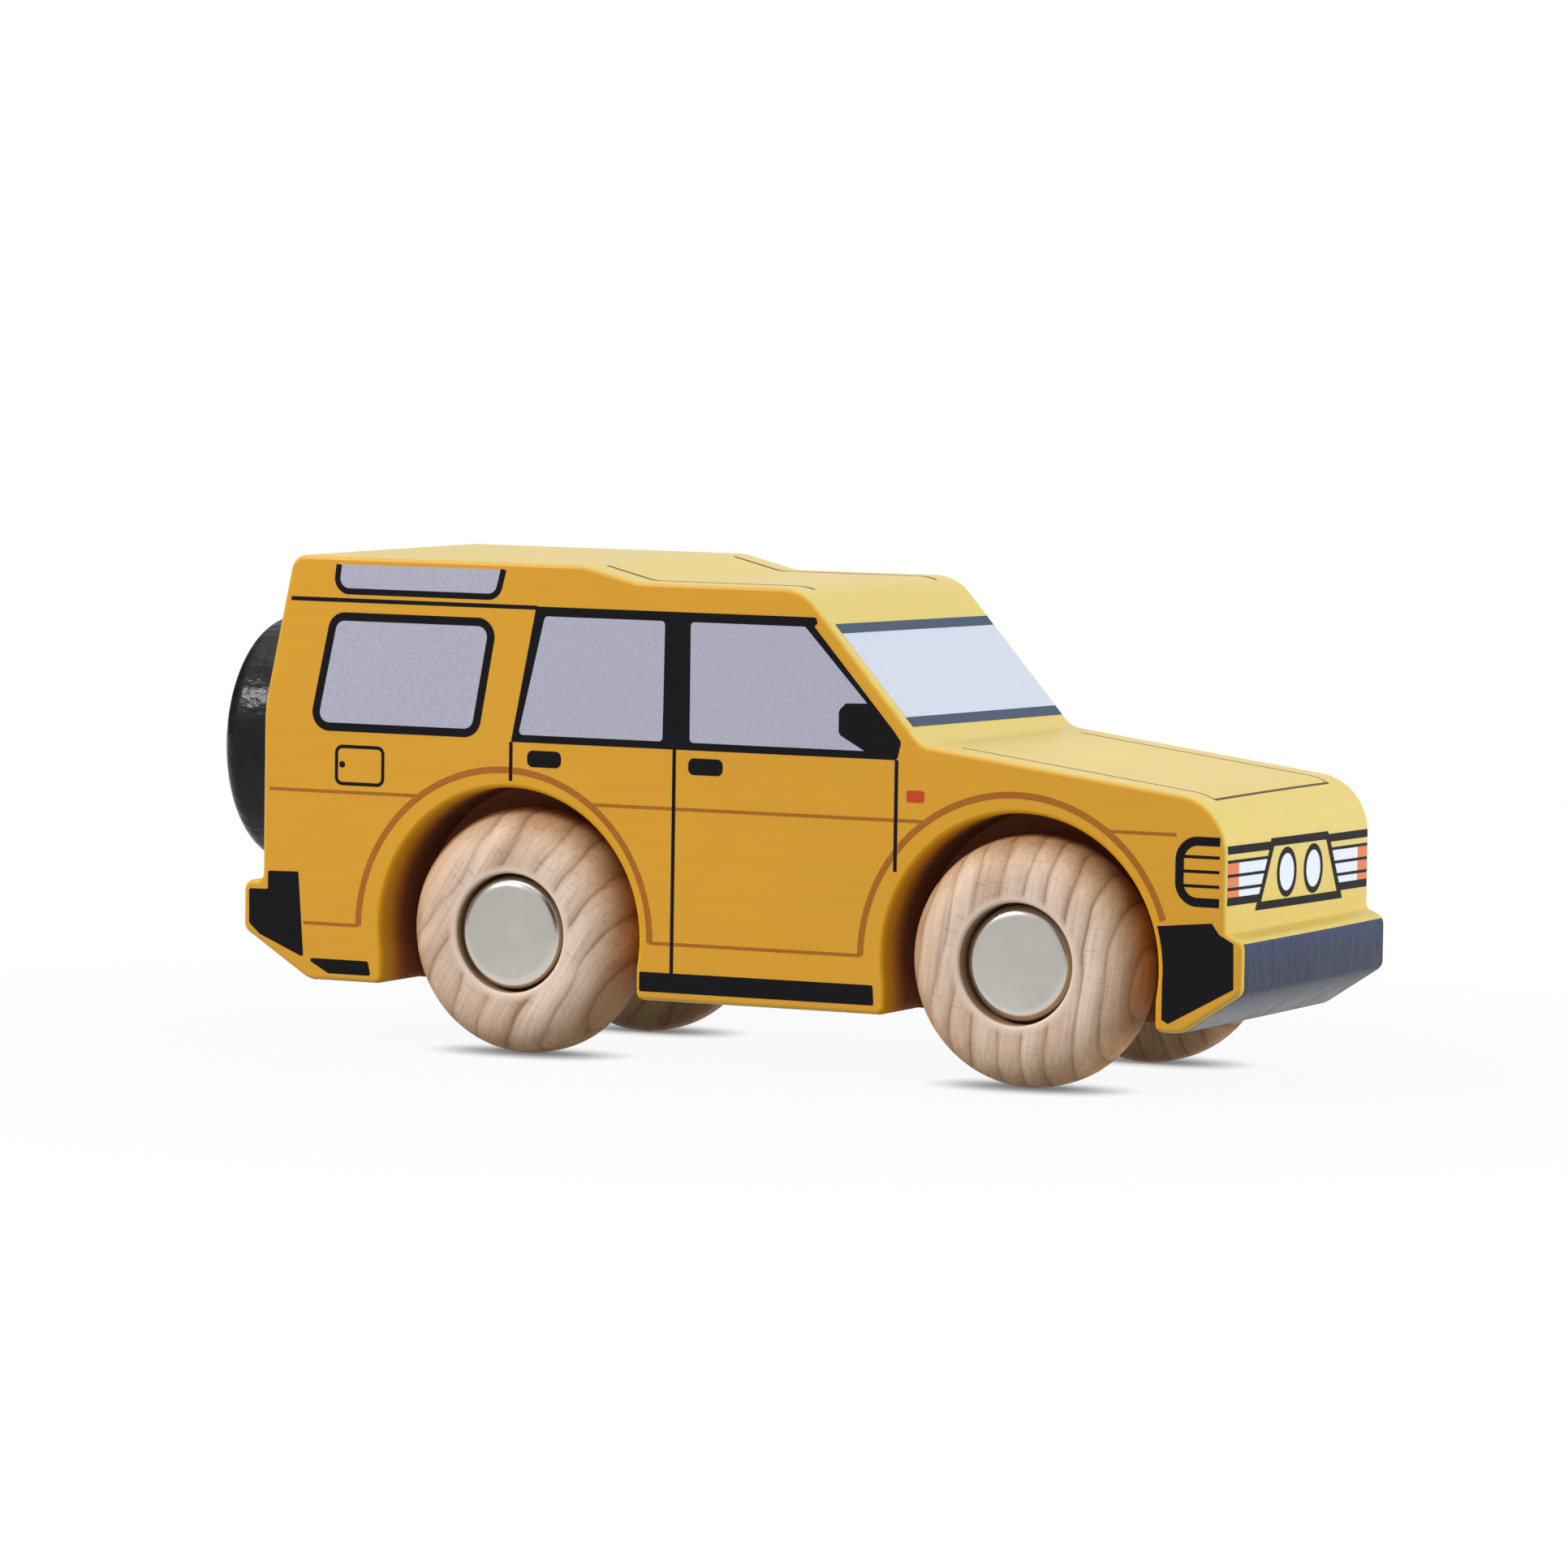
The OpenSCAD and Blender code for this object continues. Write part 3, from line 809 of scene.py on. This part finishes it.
def wrap(name, wanted, half, layer, material):
    """A film that follows the stretch of the block's outline that is wanted, across the car."""
    chosen = [(p, m) for p, m in zip(OUTLINE, mitres(OUTLINE)) if wanted(p)]
    points, outward = zip(*chosen)
    bm = bmesh.new()
    rows = [row_across(bm, points, outward, y, layer * LAYER) for y in between(-half, half, 2 * MIDDLE_STEPS)]
    skin(bm, rows, closed=False)
    add_film(name, bm, material)


# Side prints: along the car and height
GLASS_LOW, GLASS_HIGH = 38.95, 53.4
FRAME_LOW, FRAME_HIGH = 38.05, 54.55
DOOR_FRAME = [
    (-29.6, FRAME_HIGH, 0.2), (7.9, FRAME_HIGH, 0.3), (8.1, 53.9, 0.1), (7.7, 53.45, 0.1), (18.4, 41.4, 0.8),
    (19.3, 40.2, 0.6), (18.8, FRAME_LOW, 0.5), (-32.85, FRAME_LOW, 0.2),
]
REAR_DOOR_GLASS = [(-28.4, GLASS_HIGH), (-12.15, GLASS_HIGH), (-12.3, GLASS_LOW), (-31.85, GLASS_LOW)]
FRONT_DOOR_GLASS = [
    (-8.7, GLASS_HIGH), (6.5, GLASS_HIGH), (14.8, 44.6), (14.8, GLASS_LOW), (-8.65, GLASS_LOW),
]
DOOR_GLASS_R = 0.5
MIRROR = [
    (12.0, 44.5, 0.6), (14.9, 44.6, 0.2), (16.6, 42.6, 0.3), (16.6, 38.9, 0.3), (14.7, 38.85, 0.2),
    (11.1, 40.8, 0.8), (11.1, 43.6, 0.8),
]
QUARTER_WINDOW = [(-57.45, 52.4), (-35.45, 52.4), (-37.85, 38.85), (-60.3, 38.85)]
QUARTER_R, QUARTER_FRAME_W = 1.8, 1.02
ROOF_WINDOW = [(-56.85, 58.75), (-57.3, 55.5), (-35.0, 55.5), (-34.15, 58.85)]
ROOF_WINDOW_R, ROOF_WINDOW_FRAME_W = 1.6, 0.75
WAIST_BACK, WAIST_FRONT, WAIST_Z, WAIST_W = -63.5, -29.5, 54.4, 0.5
DOOR_SEAMS, SEAM_W = ((-32.85, 33.3), (-10.7, 11.1), (18.75, 24.8)), 0.46
HANDLES = [(-28.3, 36.1), (-6.5, 36.1)]
HANDLE_SIZE, HANDLE_R = (4.6, 2.0), 0.75
FLAP, FLAP_R, FLAP_LINE_W = (-56.95, -50.5, 31.95, 36.5), 0.8, 0.42
FLAP_KNOB, FLAP_KNOB_R = (-56.15, 34.3), 0.4
MARKER, MARKER_R = (20.1, 22.45, 33.1, 34.55), 0.35
CREASE_Z, CREASE_BACK, CREASE_FRONT, CREASE_W = 30.9, -66.3, 54.9, 0.42
LOW_CREASE_Z, LOW_CREASE_BACK = 14.6, -61.4
REAR_CREASE_X, FRONT_CREASE_X, ARCH_CREASE_R, ARCH_CREASE_W = -33.7, 34.35, 20.0, 0.8
FRONT_ARCH_END = 18
SILL_PRINT = [(-15.0, 11.1), (16.05, 11.15), (16.2, 8.75), (-15.0, 8.75)]
REAR_SILL_PRINT = [(-61.05, 10.3), (-52.3, 10.3), (-51.9, 8.55), (-57.8, 8.55)]
REAR_BUMPER_PRINT = [
    (-66.4, 20.75), (-62.15, 20.85), (-61.35, 10.35), (-67.5, 12.9), (-69.0, 14.2), (-69.05, 18.45),
    (-66.4, 18.5),
]
FRONT_BUMPER_PRINT = [(59.55, 20.78), (60.5, 19.5), (62.3, 18.55), (62.4, 13.2), (54.2, 8.75), (53.4, 9.2)]
BUMPER_PRINT_GAP, BUMPER_PRINT_DIP, BUMPER_PRINT_TURN = 0.7, 4, 17
PRINT_R = 0.25
LAMP_BACK, LAMP_FRONT, LAMP_LOW, LAMP_HIGH = 55.35, 60.4, 23.15, 30.3
LAMP_R, LAMP_W = 2.3, 1.05
LAMP_SLATS, SLAT_W = (28.45, 26.75, 25.05), 0.36


def black_lines(side):
    """Thin black lines on one side. Only the right side has the filler flap."""
    faces = line((WAIST_BACK, WAIST_Z), (WAIST_FRONT, WAIST_Z), WAIST_W)
    for x, low in DOOR_SEAMS:
        faces += line((x, FRAME_LOW), (x, low), SEAM_W)
    for z in LAMP_SLATS:
        faces += line((LAMP_BACK, z), (LAMP_FRONT, z), SLAT_W)
    if side == RIGHT:
        faces += band(rounded(rectangle(*FLAP), FLAP_R), FLAP_LINE_W, closed=True)
        faces += fill(circle(FLAP_KNOB, FLAP_KNOB_R))
    return faces


def black_shapes():
    """Broad black shapes on a side: window frames, handles, sill, bumpers and the corner lamp."""
    faces = fill(rounded(DOOR_FRAME))
    faces += band(rounded(QUARTER_WINDOW, QUARTER_R), QUARTER_FRAME_W, closed=True)
    faces += band(open_path(ROOF_WINDOW, ROOF_WINDOW_R), ROOF_WINDOW_FRAME_W)
    for handle in HANDLES:
        faces += fill(rounded(around(handle, HANDLE_SIZE), HANDLE_R))
    for outline in (SILL_PRINT, REAR_SILL_PRINT, REAR_BUMPER_PRINT):
        faces += fill(rounded(outline, PRINT_R))
    faces += fill(front_bumper_outline())
    lamp = [(LAMP_FRONT, LAMP_HIGH), (LAMP_BACK, LAMP_HIGH), (LAMP_BACK, LAMP_LOW), (LAMP_FRONT, LAMP_LOW)]
    faces += band(open_path(lamp, LAMP_R), LAMP_W)
    return faces


def open_path(corners, radius):
    """A path with rounded corners between its two ends."""
    points = [Vector(c) for c in corners]
    path = [points[0]]
    for a, b, c in zip(points, points[1:], points[2:]):
        path += bend(a, b, c, radius, BEND_STEP)
    return path + [points[-1]]


def front_bumper_outline():
    """The side of the front bumper, with its rear edge a little clear of the wheel arch."""
    centre = (FRONT_AXLE_X - PRINT_X, AXLE_Z - PRINT_Z)
    edge = arc(centre, ARCH_R + BUMPER_PRINT_GAP, -BUMPER_PRINT_DIP, BUMPER_PRINT_TURN, BEND_STEP)
    return edge + [Vector(p) for p in FRONT_BUMPER_PRINT]


def window_glass():
    """Panes whose black frames lie over their edges."""
    return fill(rounded(QUARTER_WINDOW, QUARTER_R)) + fill(open_path(ROOF_WINDOW, ROOF_WINDOW_R))


def door_glass():
    return [rounded(pane, DOOR_GLASS_R) for pane in (REAR_DOOR_GLASS, FRONT_DOOR_GLASS)]


def brown_lines():
    """Crease lines between the arcs over the wheels."""
    half = math.sqrt(ARCH_CREASE_R ** 2 - (CREASE_Z - LOW_CREASE_Z) ** 2)
    stretches = [
        (CREASE_BACK, REAR_CREASE_X - half, CREASE_Z),
        (REAR_CREASE_X + half, FRONT_CREASE_X - half, CREASE_Z),
        (FRONT_CREASE_X + half, CREASE_FRONT, CREASE_Z),
        (LOW_CREASE_BACK, REAR_CREASE_X - ARCH_CREASE_R, LOW_CREASE_Z),
        (REAR_CREASE_X + ARCH_CREASE_R, FRONT_CREASE_X - ARCH_CREASE_R, LOW_CREASE_Z),
    ]
    return [face for back, front, z in stretches for face in line((back, z), (front, z), CREASE_W)]


def brown_arcs():
    ends = ((REAR_CREASE_X, 0), (FRONT_CREASE_X, FRONT_ARCH_END))
    paths = [arc((x, LOW_CREASE_Z), ARCH_CREASE_R, 180, end, BEND_STEP) for x, end in ends]
    return [face for path in paths for face in band(path, ARCH_CREASE_W)]


def make_side_prints():
    marker = fill(rounded(rectangle(*MARKER), MARKER_R))
    for side, word in ((LEFT, "left"), (RIGHT, "right")):
        prints = (
            ("creases", brown_lines(), 1, BROWN_INK), ("arcs", brown_arcs(), 2, BROWN_INK),
            ("marker", marker, 2, RED_INK), ("windows", window_glass(), 2, GLASS_INK),
            ("lines", black_lines(side), 3, BLACK_INK), ("black", black_shapes(), 4, BLACK_INK),
            ("door_glass", door_glass(), 5, GLASS_INK), ("mirror", fill(rounded(MIRROR)), 6, BLACK_INK),
        )
        for name, faces, layer, material in prints:
            print_on("print_" + name + "_" + word, faces, on_side(side, layer), material)


# Front prints: across the car and height
GRILLE_TOP, GRILLE_BOTTOM = 29.6, 22.3
GRILLE_TOP_HALF, GRILLE_BOTTOM_HALF = 8.4, 12.6
GRILLE_W = 0.95
BAND_HIGH, BAND_LOW, BAND_W = 29.25, 23.25, 0.95
FRONT_SLATS, FRONT_SLAT_W = (27.9, 26.25, 24.7), 0.36
FRONT_LAMP_HALF, INDICATOR_HALF = 21.55, 18.35
ROUND_LAMP_Y, ROUND_LAMP_Z, ROUND_LAMP_R, ROUND_LAMP_W = 4.1, 25.9, 2.6, 0.75
SLATE_HALF, SLATE_GAP = 21.5, 0.12
SCREEN_RIGHT, SCREEN_LEFT = -20.4, 21.5
SCREEN_LOW, SCREEN_HIGH, STRIP_H = 42.45, 53.15, 1.05

# Top prints: along the car and across
GUTTER_Y, GUTTER_W, GUTTER_BACK, GUTTER_FRONT = 17.2, 0.75, -22.6, 5.2
BONNET_SEAM_Y, BONNET_SEAM_BACK, BONNET_SEAM_FRONT, BONNET_SEAM_W = 17.4, 25.0, 57.6, 0.34

# Rear prints: across the car and height
REAR_WINDOW, REAR_WINDOW_R, REAR_WINDOW_FRAME_W = (-17.0, 17.0, 44.0, 55.2), 1.6, 0.95
TAIL_LAMP_NEAR, TAIL_LAMP_FAR, TAIL_LAMP_LOW, TAIL_LAMP_HIGH = 16.8, 20.6, 22.6, 31.4
TAIL_LAMP_SPLIT, TAIL_LAMP_R, TAIL_LAMP_W = 27.6, 0.6, 0.7


def grille_edge(z):
    """Half width of the grille at a height."""
    share = (GRILLE_TOP - z) / (GRILLE_TOP - GRILLE_BOTTOM)
    return GRILLE_TOP_HALF + (GRILLE_BOTTOM_HALF - GRILLE_TOP_HALF) * share


def front_slats(heights, width):
    """Level lines from the grille out to both edges of the face."""
    faces = []
    for side in (LEFT, RIGHT):
        for z in heights:
            faces += line((side * grille_edge(z), z), (side * FRONT_LAMP_HALF, z), width)
    return faces


def grille_frame():
    corners = [
        (-GRILLE_TOP_HALF, GRILLE_TOP), (-GRILLE_BOTTOM_HALF, GRILLE_BOTTOM),
        (GRILLE_BOTTOM_HALF, GRILLE_BOTTOM), (GRILLE_TOP_HALF, GRILLE_TOP),
    ]
    return band(dense(corners), GRILLE_W, closed=True)


def front_lamp(near, far):
    """The strip of a lamp on both sides, from near, which depends on the height, out to far."""
    faces = []
    low, high = BAND_LOW, FRONT_SLATS[0]
    for side in (LEFT, RIGHT):
        corners = [(near(low), low), (far, low), (far, high), (near(high), high)]
        faces += patch([(side * y, z) for y, z in corners])
    return faces


def on_front_bumper(p):
    return p.x > FRONT_AXLE_X and p.y < BUMPER_Z - SLATE_GAP


def on_rear_bumper(p):
    return p.x < REAR_AXLE_X and p.y < REAR_BUMPER_Z - SLATE_GAP


def make_front_prints():
    lamps = [circle((side * ROUND_LAMP_Y, ROUND_LAMP_Z), ROUND_LAMP_R) for side in (LEFT, RIGHT)]
    rings = [face for lamp in lamps for face in band(lamp, ROUND_LAMP_W, closed=True)]
    strips = []
    for z in (SCREEN_LOW, SCREEN_HIGH):
        strips += patch(rectangle(SCREEN_RIGHT, SCREEN_LEFT, z - STRIP_H / 2, z + STRIP_H / 2))
    prints = (
        ("lamps_white", front_lamp(grille_edge, INDICATOR_HALF), 2, WHITE_INK),
        ("lamps_orange", front_lamp(lambda z: INDICATOR_HALF, FRONT_LAMP_HALF), 2, ORANGE_INK),
        ("front_slats", front_slats(FRONT_SLATS, FRONT_SLAT_W), 4, BLACK_INK),
        ("front_bands", front_slats((BAND_HIGH, BAND_LOW), BAND_W), 5, BLACK_INK),
        ("grille", grille_frame(), 6, BLACK_INK),
        ("round_lamps", lamps, 2, WHITE_INK),
        ("lamp_rings", rings, 4, BLACK_INK),
        ("windscreen", patch(rectangle(SCREEN_RIGHT, SCREEN_LEFT, SCREEN_LOW, SCREEN_HIGH)), 2, SKY_INK),
        ("windscreen_strips", strips, 7, STRIP_INK),
    )
    for name, faces, layer, material in prints:
        print_on("print_" + name, faces, on_front(layer), material)
    wrap("print_front_bumper", on_front_bumper, SLATE_HALF, 4, SLATE)


def make_top_prints():
    seams = []
    for side in (LEFT, RIGHT):
        gutter_y, seam_y = side * GUTTER_Y, side * BONNET_SEAM_Y
        seams += line((GUTTER_BACK, gutter_y), (GUTTER_FRONT, gutter_y), GUTTER_W)
        seams += line((BONNET_SEAM_BACK, seam_y), (BONNET_SEAM_FRONT, seam_y), BONNET_SEAM_W)
    seams += line((BONNET_SEAM_FRONT, -BONNET_SEAM_Y), (BONNET_SEAM_FRONT, BONNET_SEAM_Y), BONNET_SEAM_W)
    print_on("print_roof_and_bonnet", seams, on_top(2), SEAM_INK)


def make_rear_prints():
    """The back, which repeats the look of the other prints."""
    window = rounded(rectangle(*REAR_WINDOW), REAR_WINDOW_R)
    print_on("print_rear_window", patch(rectangle(*REAR_WINDOW)), on_rear(2), GLASS_INK)
    black = band(dense(window), REAR_WINDOW_FRAME_W, closed=True)
    red, orange = [], []
    for side in (LEFT, RIGHT):
        near, far = sorted((side * TAIL_LAMP_NEAR, side * TAIL_LAMP_FAR))
        red += fill(rectangle(near, far, TAIL_LAMP_LOW, TAIL_LAMP_SPLIT))
        orange += fill(rectangle(near, far, TAIL_LAMP_SPLIT, TAIL_LAMP_HIGH))
        edge = rounded(rectangle(near, far, TAIL_LAMP_LOW, TAIL_LAMP_HIGH), TAIL_LAMP_R)
        black += band(edge, TAIL_LAMP_W, closed=True)
    print_on("print_tail_lamps_red", red, on_rear(2), RED_INK)
    print_on("print_tail_lamps_orange", orange, on_rear(2), ORANGE_INK)
    print_on("print_rear_black", black, on_rear(4), BLACK_INK)
    wrap("print_rear_bumper", on_rear_bumper, SLATE_HALF, 4, SLATE)


# Turned pieces

def wheel_section():
    start = END_GAP + BOSS_H
    floor = WHEEL_FACE - COUNTERBORE_H
    section = [(BORE_R, END_GAP), (BOSS_R, END_GAP), (BOSS_R, start)]
    section += arc((WHEEL_R - RIM_INNER_R, start + RIM_INNER_R), RIM_INNER_R, -90, 0, TURN_STEP)
    section += arc((WHEEL_R - RIM_OUTER_R, WHEEL_FACE - RIM_OUTER_R), RIM_OUTER_R, 0, 90, TURN_STEP)
    lip = (COUNTERBORE_R + COUNTERBORE_BEVEL, WHEEL_FACE - COUNTERBORE_BEVEL)
    section += arc(lip, COUNTERBORE_BEVEL, 90, 180, LIP_STEP)
    section += [(COUNTERBORE_R, floor), (BORE_R, floor)]
    return section


def cap_section():
    start = WHEEL_FACE - COUNTERBORE_H + WHEEL_PLAY + END_GAP
    bend_at = (CAP_R - CAP_EDGE_R, WHEEL_FACE - CAP_EDGE_R)
    section = [(CAP_R - CAP_WALL, start), (CAP_R, start)]
    section += arc(bend_at, CAP_EDGE_R, 0, 90, TURN_STEP)
    section += [(0, WHEEL_FACE), (0, WHEEL_FACE - CAP_WALL)]
    section += arc(bend_at, CAP_EDGE_R - CAP_WALL, 90, 0, TURN_STEP)
    return section


# Each wheel's wood: direction and start of the grain, spacing of the growth lines and how far they wander
WHEEL_GRAIN = {
    "front_left": (12, 3.0, 2.9, 5.0), "front_right": (-9, 1.0, 3.1, 5.0),
    "rear_left": (-40, 5.0, 4.2, 8.0), "rear_right": (-33, 2.0, 4.2, 8.0),
}


def make_wheels():
    ends = (("front", FRONT_AXLE_X, WHEEL_PLAY, FRONT_CAP_OUT), ("rear", REAR_AXLE_X, 0.0, 0.0))
    for end, x, drawn_out, cap_out in ends:
        for word, side in (("left", LEFT), ("right", RIGHT)):
            key = end + "_" + word
            wood = beech("beech " + key, middle_mm("wheel_" + key), *WHEEL_GRAIN[key])
            turned = lathe(wheel_section(), at_well(x, side, drawn_out))
            wheel = add_smooth_piece("turned_wheel_" + key, turned, [wood], key + "_wheel")
            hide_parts("wheel_" + key)
            domed = lathe(cap_section(), at_well(x, side, cap_out))
            cap = add_smooth_piece("domed_cap_" + key, domed, [NICKEL])
            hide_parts("hub_cap_" + key)


def make_spare():
    thickness = SPARE_HIGH.x - SPARE_LOW.x
    section = [(0, 0), (SPARE_R - SPARE_BEVEL, 0), (SPARE_R, SPARE_BEVEL)]
    section += arc((SPARE_R - SPARE_EDGE_R, thickness - SPARE_EDGE_R), SPARE_EDGE_R, 0, 90, TURN_STEP)
    section += [(0, thickness)]
    centre_z = (SPARE_LOW.z + SPARE_HIGH.z) / 2
    place = Matrix.Translation((SPARE_HIGH.x, 0, centre_z)) @ Matrix.Rotation(-math.pi / 2, 4, "Y")
    disc = lathe(section, place)
    spare = add_smooth_piece("turned_spare_wheel", disc, [gloss_black()])
    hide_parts("spare_wheel")


def make_block():
    block = add_smooth_piece("painted_block", BLOCK, [PAINT, well_painted_shade()])
    weigh_normals(block)
    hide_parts("body_block")


def finish_inner_pieces():
    """Finishes of the CAD pieces that stay as they are."""
    rod = steel("drawn steel", (0.5, 0.5, 0.51), (0.62, 0.62, 0.63))
    spring = steel("spring steel", (0.3, 0.31, 0.33), (0.42, 0.43, 0.46))
    finishes = {"front_axle": rod, "rear_axle": rod, "spare_wheel_dowel": dowel_wood()}
    for name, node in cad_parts.items():
        material = spring if name.startswith("push_nut") else finishes.get(name)
        if material:
            node.data.materials.clear()
            node.data.materials.append(material)


# Stage

CAMERA_AT = (425.43, -888.44, 103.22)
AZIMUTH, ELEVATION, ROLL = 26.0, 4.06, 0.86
FOCAL_PIXELS, PHOTO_PIXELS, SENSOR = 10000.0, 1932.0, 36.0
CLIP_START, CLIP_END = 0.05, 20


def make_camera():
    """The photograph's view. The place is measured from the floor under mid wheelbase."""
    a, e, r = (math.radians(x) for x in (AZIMUTH, ELEVATION, ROLL))
    level = Vector((math.cos(a), math.sin(a), 0))
    ahead = Vector((-math.sin(a) * math.cos(e), math.cos(a) * math.cos(e), -math.sin(e)))
    upright = level.cross(ahead)
    right = level * math.cos(r) + upright * math.sin(r)
    up = upright * math.cos(r) - level * math.sin(r)
    data = bpy.data.cameras.new("photo view")
    data.sensor_width = SENSOR
    data.lens = FOCAL_PIXELS * SENSOR / PHOTO_PIXELS
    data.clip_start, data.clip_end = CLIP_START, CLIP_END
    camera = add_object("photo view", data)
    at = Vector(CAMERA_AT) + Vector((MIDDLE_X, 0, 0))
    turn = Matrix((right, up, -ahead)).transposed().to_4x4()
    camera.matrix_world = Matrix.Translation(at * MM) @ turn
    bpy.context.scene.camera = camera


# Lights, in metres and watts: place, width, power and whether glossy surfaces show them
LIGHTS = {
    "top softbox": ((-0.2, -0.1, 0.9), 0.7, 1.7, True),
    "key softbox": ((-0.53, -0.63, 0.6), 0.3, 4.3, False),
    "highlight lamp": ((-0.51, -0.61, 0.58), 0.2, 2.4, True),
    "front softbox": ((0.8, 0.15, 0.22), 0.5, 5.3, False),
}
LIGHT_AIM = (0, 0, 0.03)


def area_light(name, at, size, watts, mirrored):
    """A round softbox that faces the car, and that shows in glossy surfaces or not."""
    data = bpy.data.lights.new(name, "AREA")
    data.shape = "DISK"
    data.size = size
    data.energy = watts
    light = add_object(name, data)
    light.visible_glossy = mirrored
    light.location = at
    light.rotation_mode = "QUATERNION"
    light.rotation_quaternion = (Vector(LIGHT_AIM) - Vector(at)).to_track_quat("-Z", "Y")


class Rays(Nodes):
    """Nodes of a world or floor that differs for the camera, for mirrors and for the light it gives."""

    def __init__(self, tree):
        super().__init__(tree)
        self.path = self.node("ShaderNodeLightPath").outputs

    def mirrored(self):
        return self.math("MAXIMUM", self.path["Is Glossy Ray"], self.path["Is Transmission Ray"])

    def fade(self, value, low, high, at_low, at_high):
        """A soft change from at_low to at_high, while the value goes from low to high."""
        inputs = {"Value": value, "From Min": low, "From Max": high, "To Min": at_low, "To Max": at_high}
        return self.node("ShaderNodeMapRange", inputs, interpolation_type="SMOOTHSTEP").outputs["Result"]

    def along(self, vector, direction):
        """How far a vector points in a direction."""
        inputs = {0: vector, 1: tuple(Vector(direction).normalized())}
        return self.node("ShaderNodeVectorMath", inputs, operation="DOT_PRODUCT").outputs["Value"]

    def choose(self, factor, one, two):
        return self.node("ShaderNodeMix", {0: factor, 2: one, 3: two}).outputs[0]


# The room round the car: how bright it is, where it lies and where its soft edges start and end
WORLD_LOW, WORLD_LIGHT, WORLD_EDGE = 0.3, 0.6, (0.0, 0.7)
MIRROR_DIM, MIRROR_BRIGHT, FLAG_SHADE = 0.54, 1.0, 0.05
BACKDROP_SIDE, BACKDROP_EDGE = (0.25, 0.9, 0.45), (-0.4, 0.4)
RIGHT_FLAG_SIDE, RIGHT_FLAG_EDGE = (0.69, -0.52, 0.5), (0.82, 0.95)
REAR_FLAG_SIDE, REAR_FLAG_EDGE = (-1.0, 0.25, 0.1), (0.6, 0.95)
UP, LEFTWARD = (0, 0, 1), (0, 1, 0)


def make_world():
    """White to the camera. Mirrors see a white backdrop, a dimmer room and two dark flags."""
    world = bpy.data.worlds.new("studio")
    world.use_nodes = True
    rays = Rays(world.node_tree)
    toward = rays.node("ShaderNodeTexCoord").outputs["Generated"]
    room = rays.fade(rays.along(toward, BACKDROP_SIDE), *BACKDROP_EDGE, MIRROR_DIM, MIRROR_BRIGHT)
    right_flag = rays.fade(rays.along(toward, RIGHT_FLAG_SIDE), *RIGHT_FLAG_EDGE, 1.0, FLAG_SHADE)
    rear_flag = rays.fade(rays.along(toward, REAR_FLAG_SIDE), *REAR_FLAG_EDGE, 1.0, FLAG_SHADE)
    light = rays.fade(rays.along(toward, UP), *WORLD_EDGE, WORLD_LOW, WORLD_LIGHT)
    mirror = rays.math("MULTIPLY", rays.math("MULTIPLY", room, right_flag), rear_flag)
    seen = rays.choose(rays.mirrored(), light, mirror)
    strength = rays.choose(rays.path["Is Camera Ray"], seen, 1.0)
    background = world.node_tree.nodes["Background"]
    background.inputs["Color"].default_value = (1, 1, 1, 1)
    world.node_tree.links.new(strength, background.inputs["Strength"])
    bpy.context.scene.world = world


# Floor, in metres: its size, the dark line where the wheels stand and how far the shadow shows
FLOOR_SIZE, FLOOR_TONE, FLOOR_EDGE = 12.0, 0.4, (-0.15, 0.1)
CONTACT_REACH, CONTACT_SHADE, CONTACT_SAMPLES = 0.0055, 0.2, 6
SHADOW_SHARE, SHADOW_NEAR, SHADOW_FAR = 0.06, 0.06, 0.16


def make_floor():
    """Plain white floor with the car's shadow, dimmer in mirrors towards the camera."""
    bpy.ops.mesh.primitive_plane_add(size=FLOOR_SIZE)
    floor = bpy.context.object
    floor.name = "floor"
    material = bpy.data.materials.new("pale floor")
    material.use_nodes = True
    tree = material.node_tree
    tree.nodes.clear()
    rays = Rays(tree)
    contact = rays.node("ShaderNodeAmbientOcclusion", {"Distance": CONTACT_REACH}, samples=CONTACT_SAMPLES)
    shade = rays.fade(contact.outputs["AO"], 0.0, 1.0, CONTACT_SHADE, 1.0)
    place = rays.node("ShaderNodeNewGeometry").outputs["Position"]
    mirror = rays.fade(rays.along(place, LEFTWARD), *FLOOR_EDGE, MIRROR_DIM, MIRROR_BRIGHT)
    seen = rays.choose(rays.path["Is Camera Ray"], mirror, shade)
    glow = rays.node("ShaderNodeEmission", {"Strength": seen})
    white = rays.node("ShaderNodeBsdfDiffuse", {"Color": (FLOOR_TONE,) * 3 + (1,)})
    shown = rays.math("MAXIMUM", rays.path["Is Camera Ray"], rays.mirrored())
    glowing = rays.fade(rays.length(place), SHADOW_NEAR, SHADOW_FAR, 1 - SHADOW_SHARE, 1.0)
    share = rays.math("MULTIPLY", shown, glowing)
    both = rays.node("ShaderNodeMixShader", {0: share, 1: white.outputs[0], 2: glow.outputs[0]})
    rays.node("ShaderNodeOutputMaterial", {"Surface": both.outputs[0]})
    floor.data.materials.append(material)


def make_lights():
    for name, settings in LIGHTS.items():
        area_light(name, *settings)


make_camera()
make_world()
make_floor()
make_lights()
make_side_prints()
make_front_prints()
make_top_prints()
make_rear_prints()
make_block()
make_wheels()
make_spare()
finish_inner_pieces()

bpy.context.scene.view_settings.view_transform = "Standard"
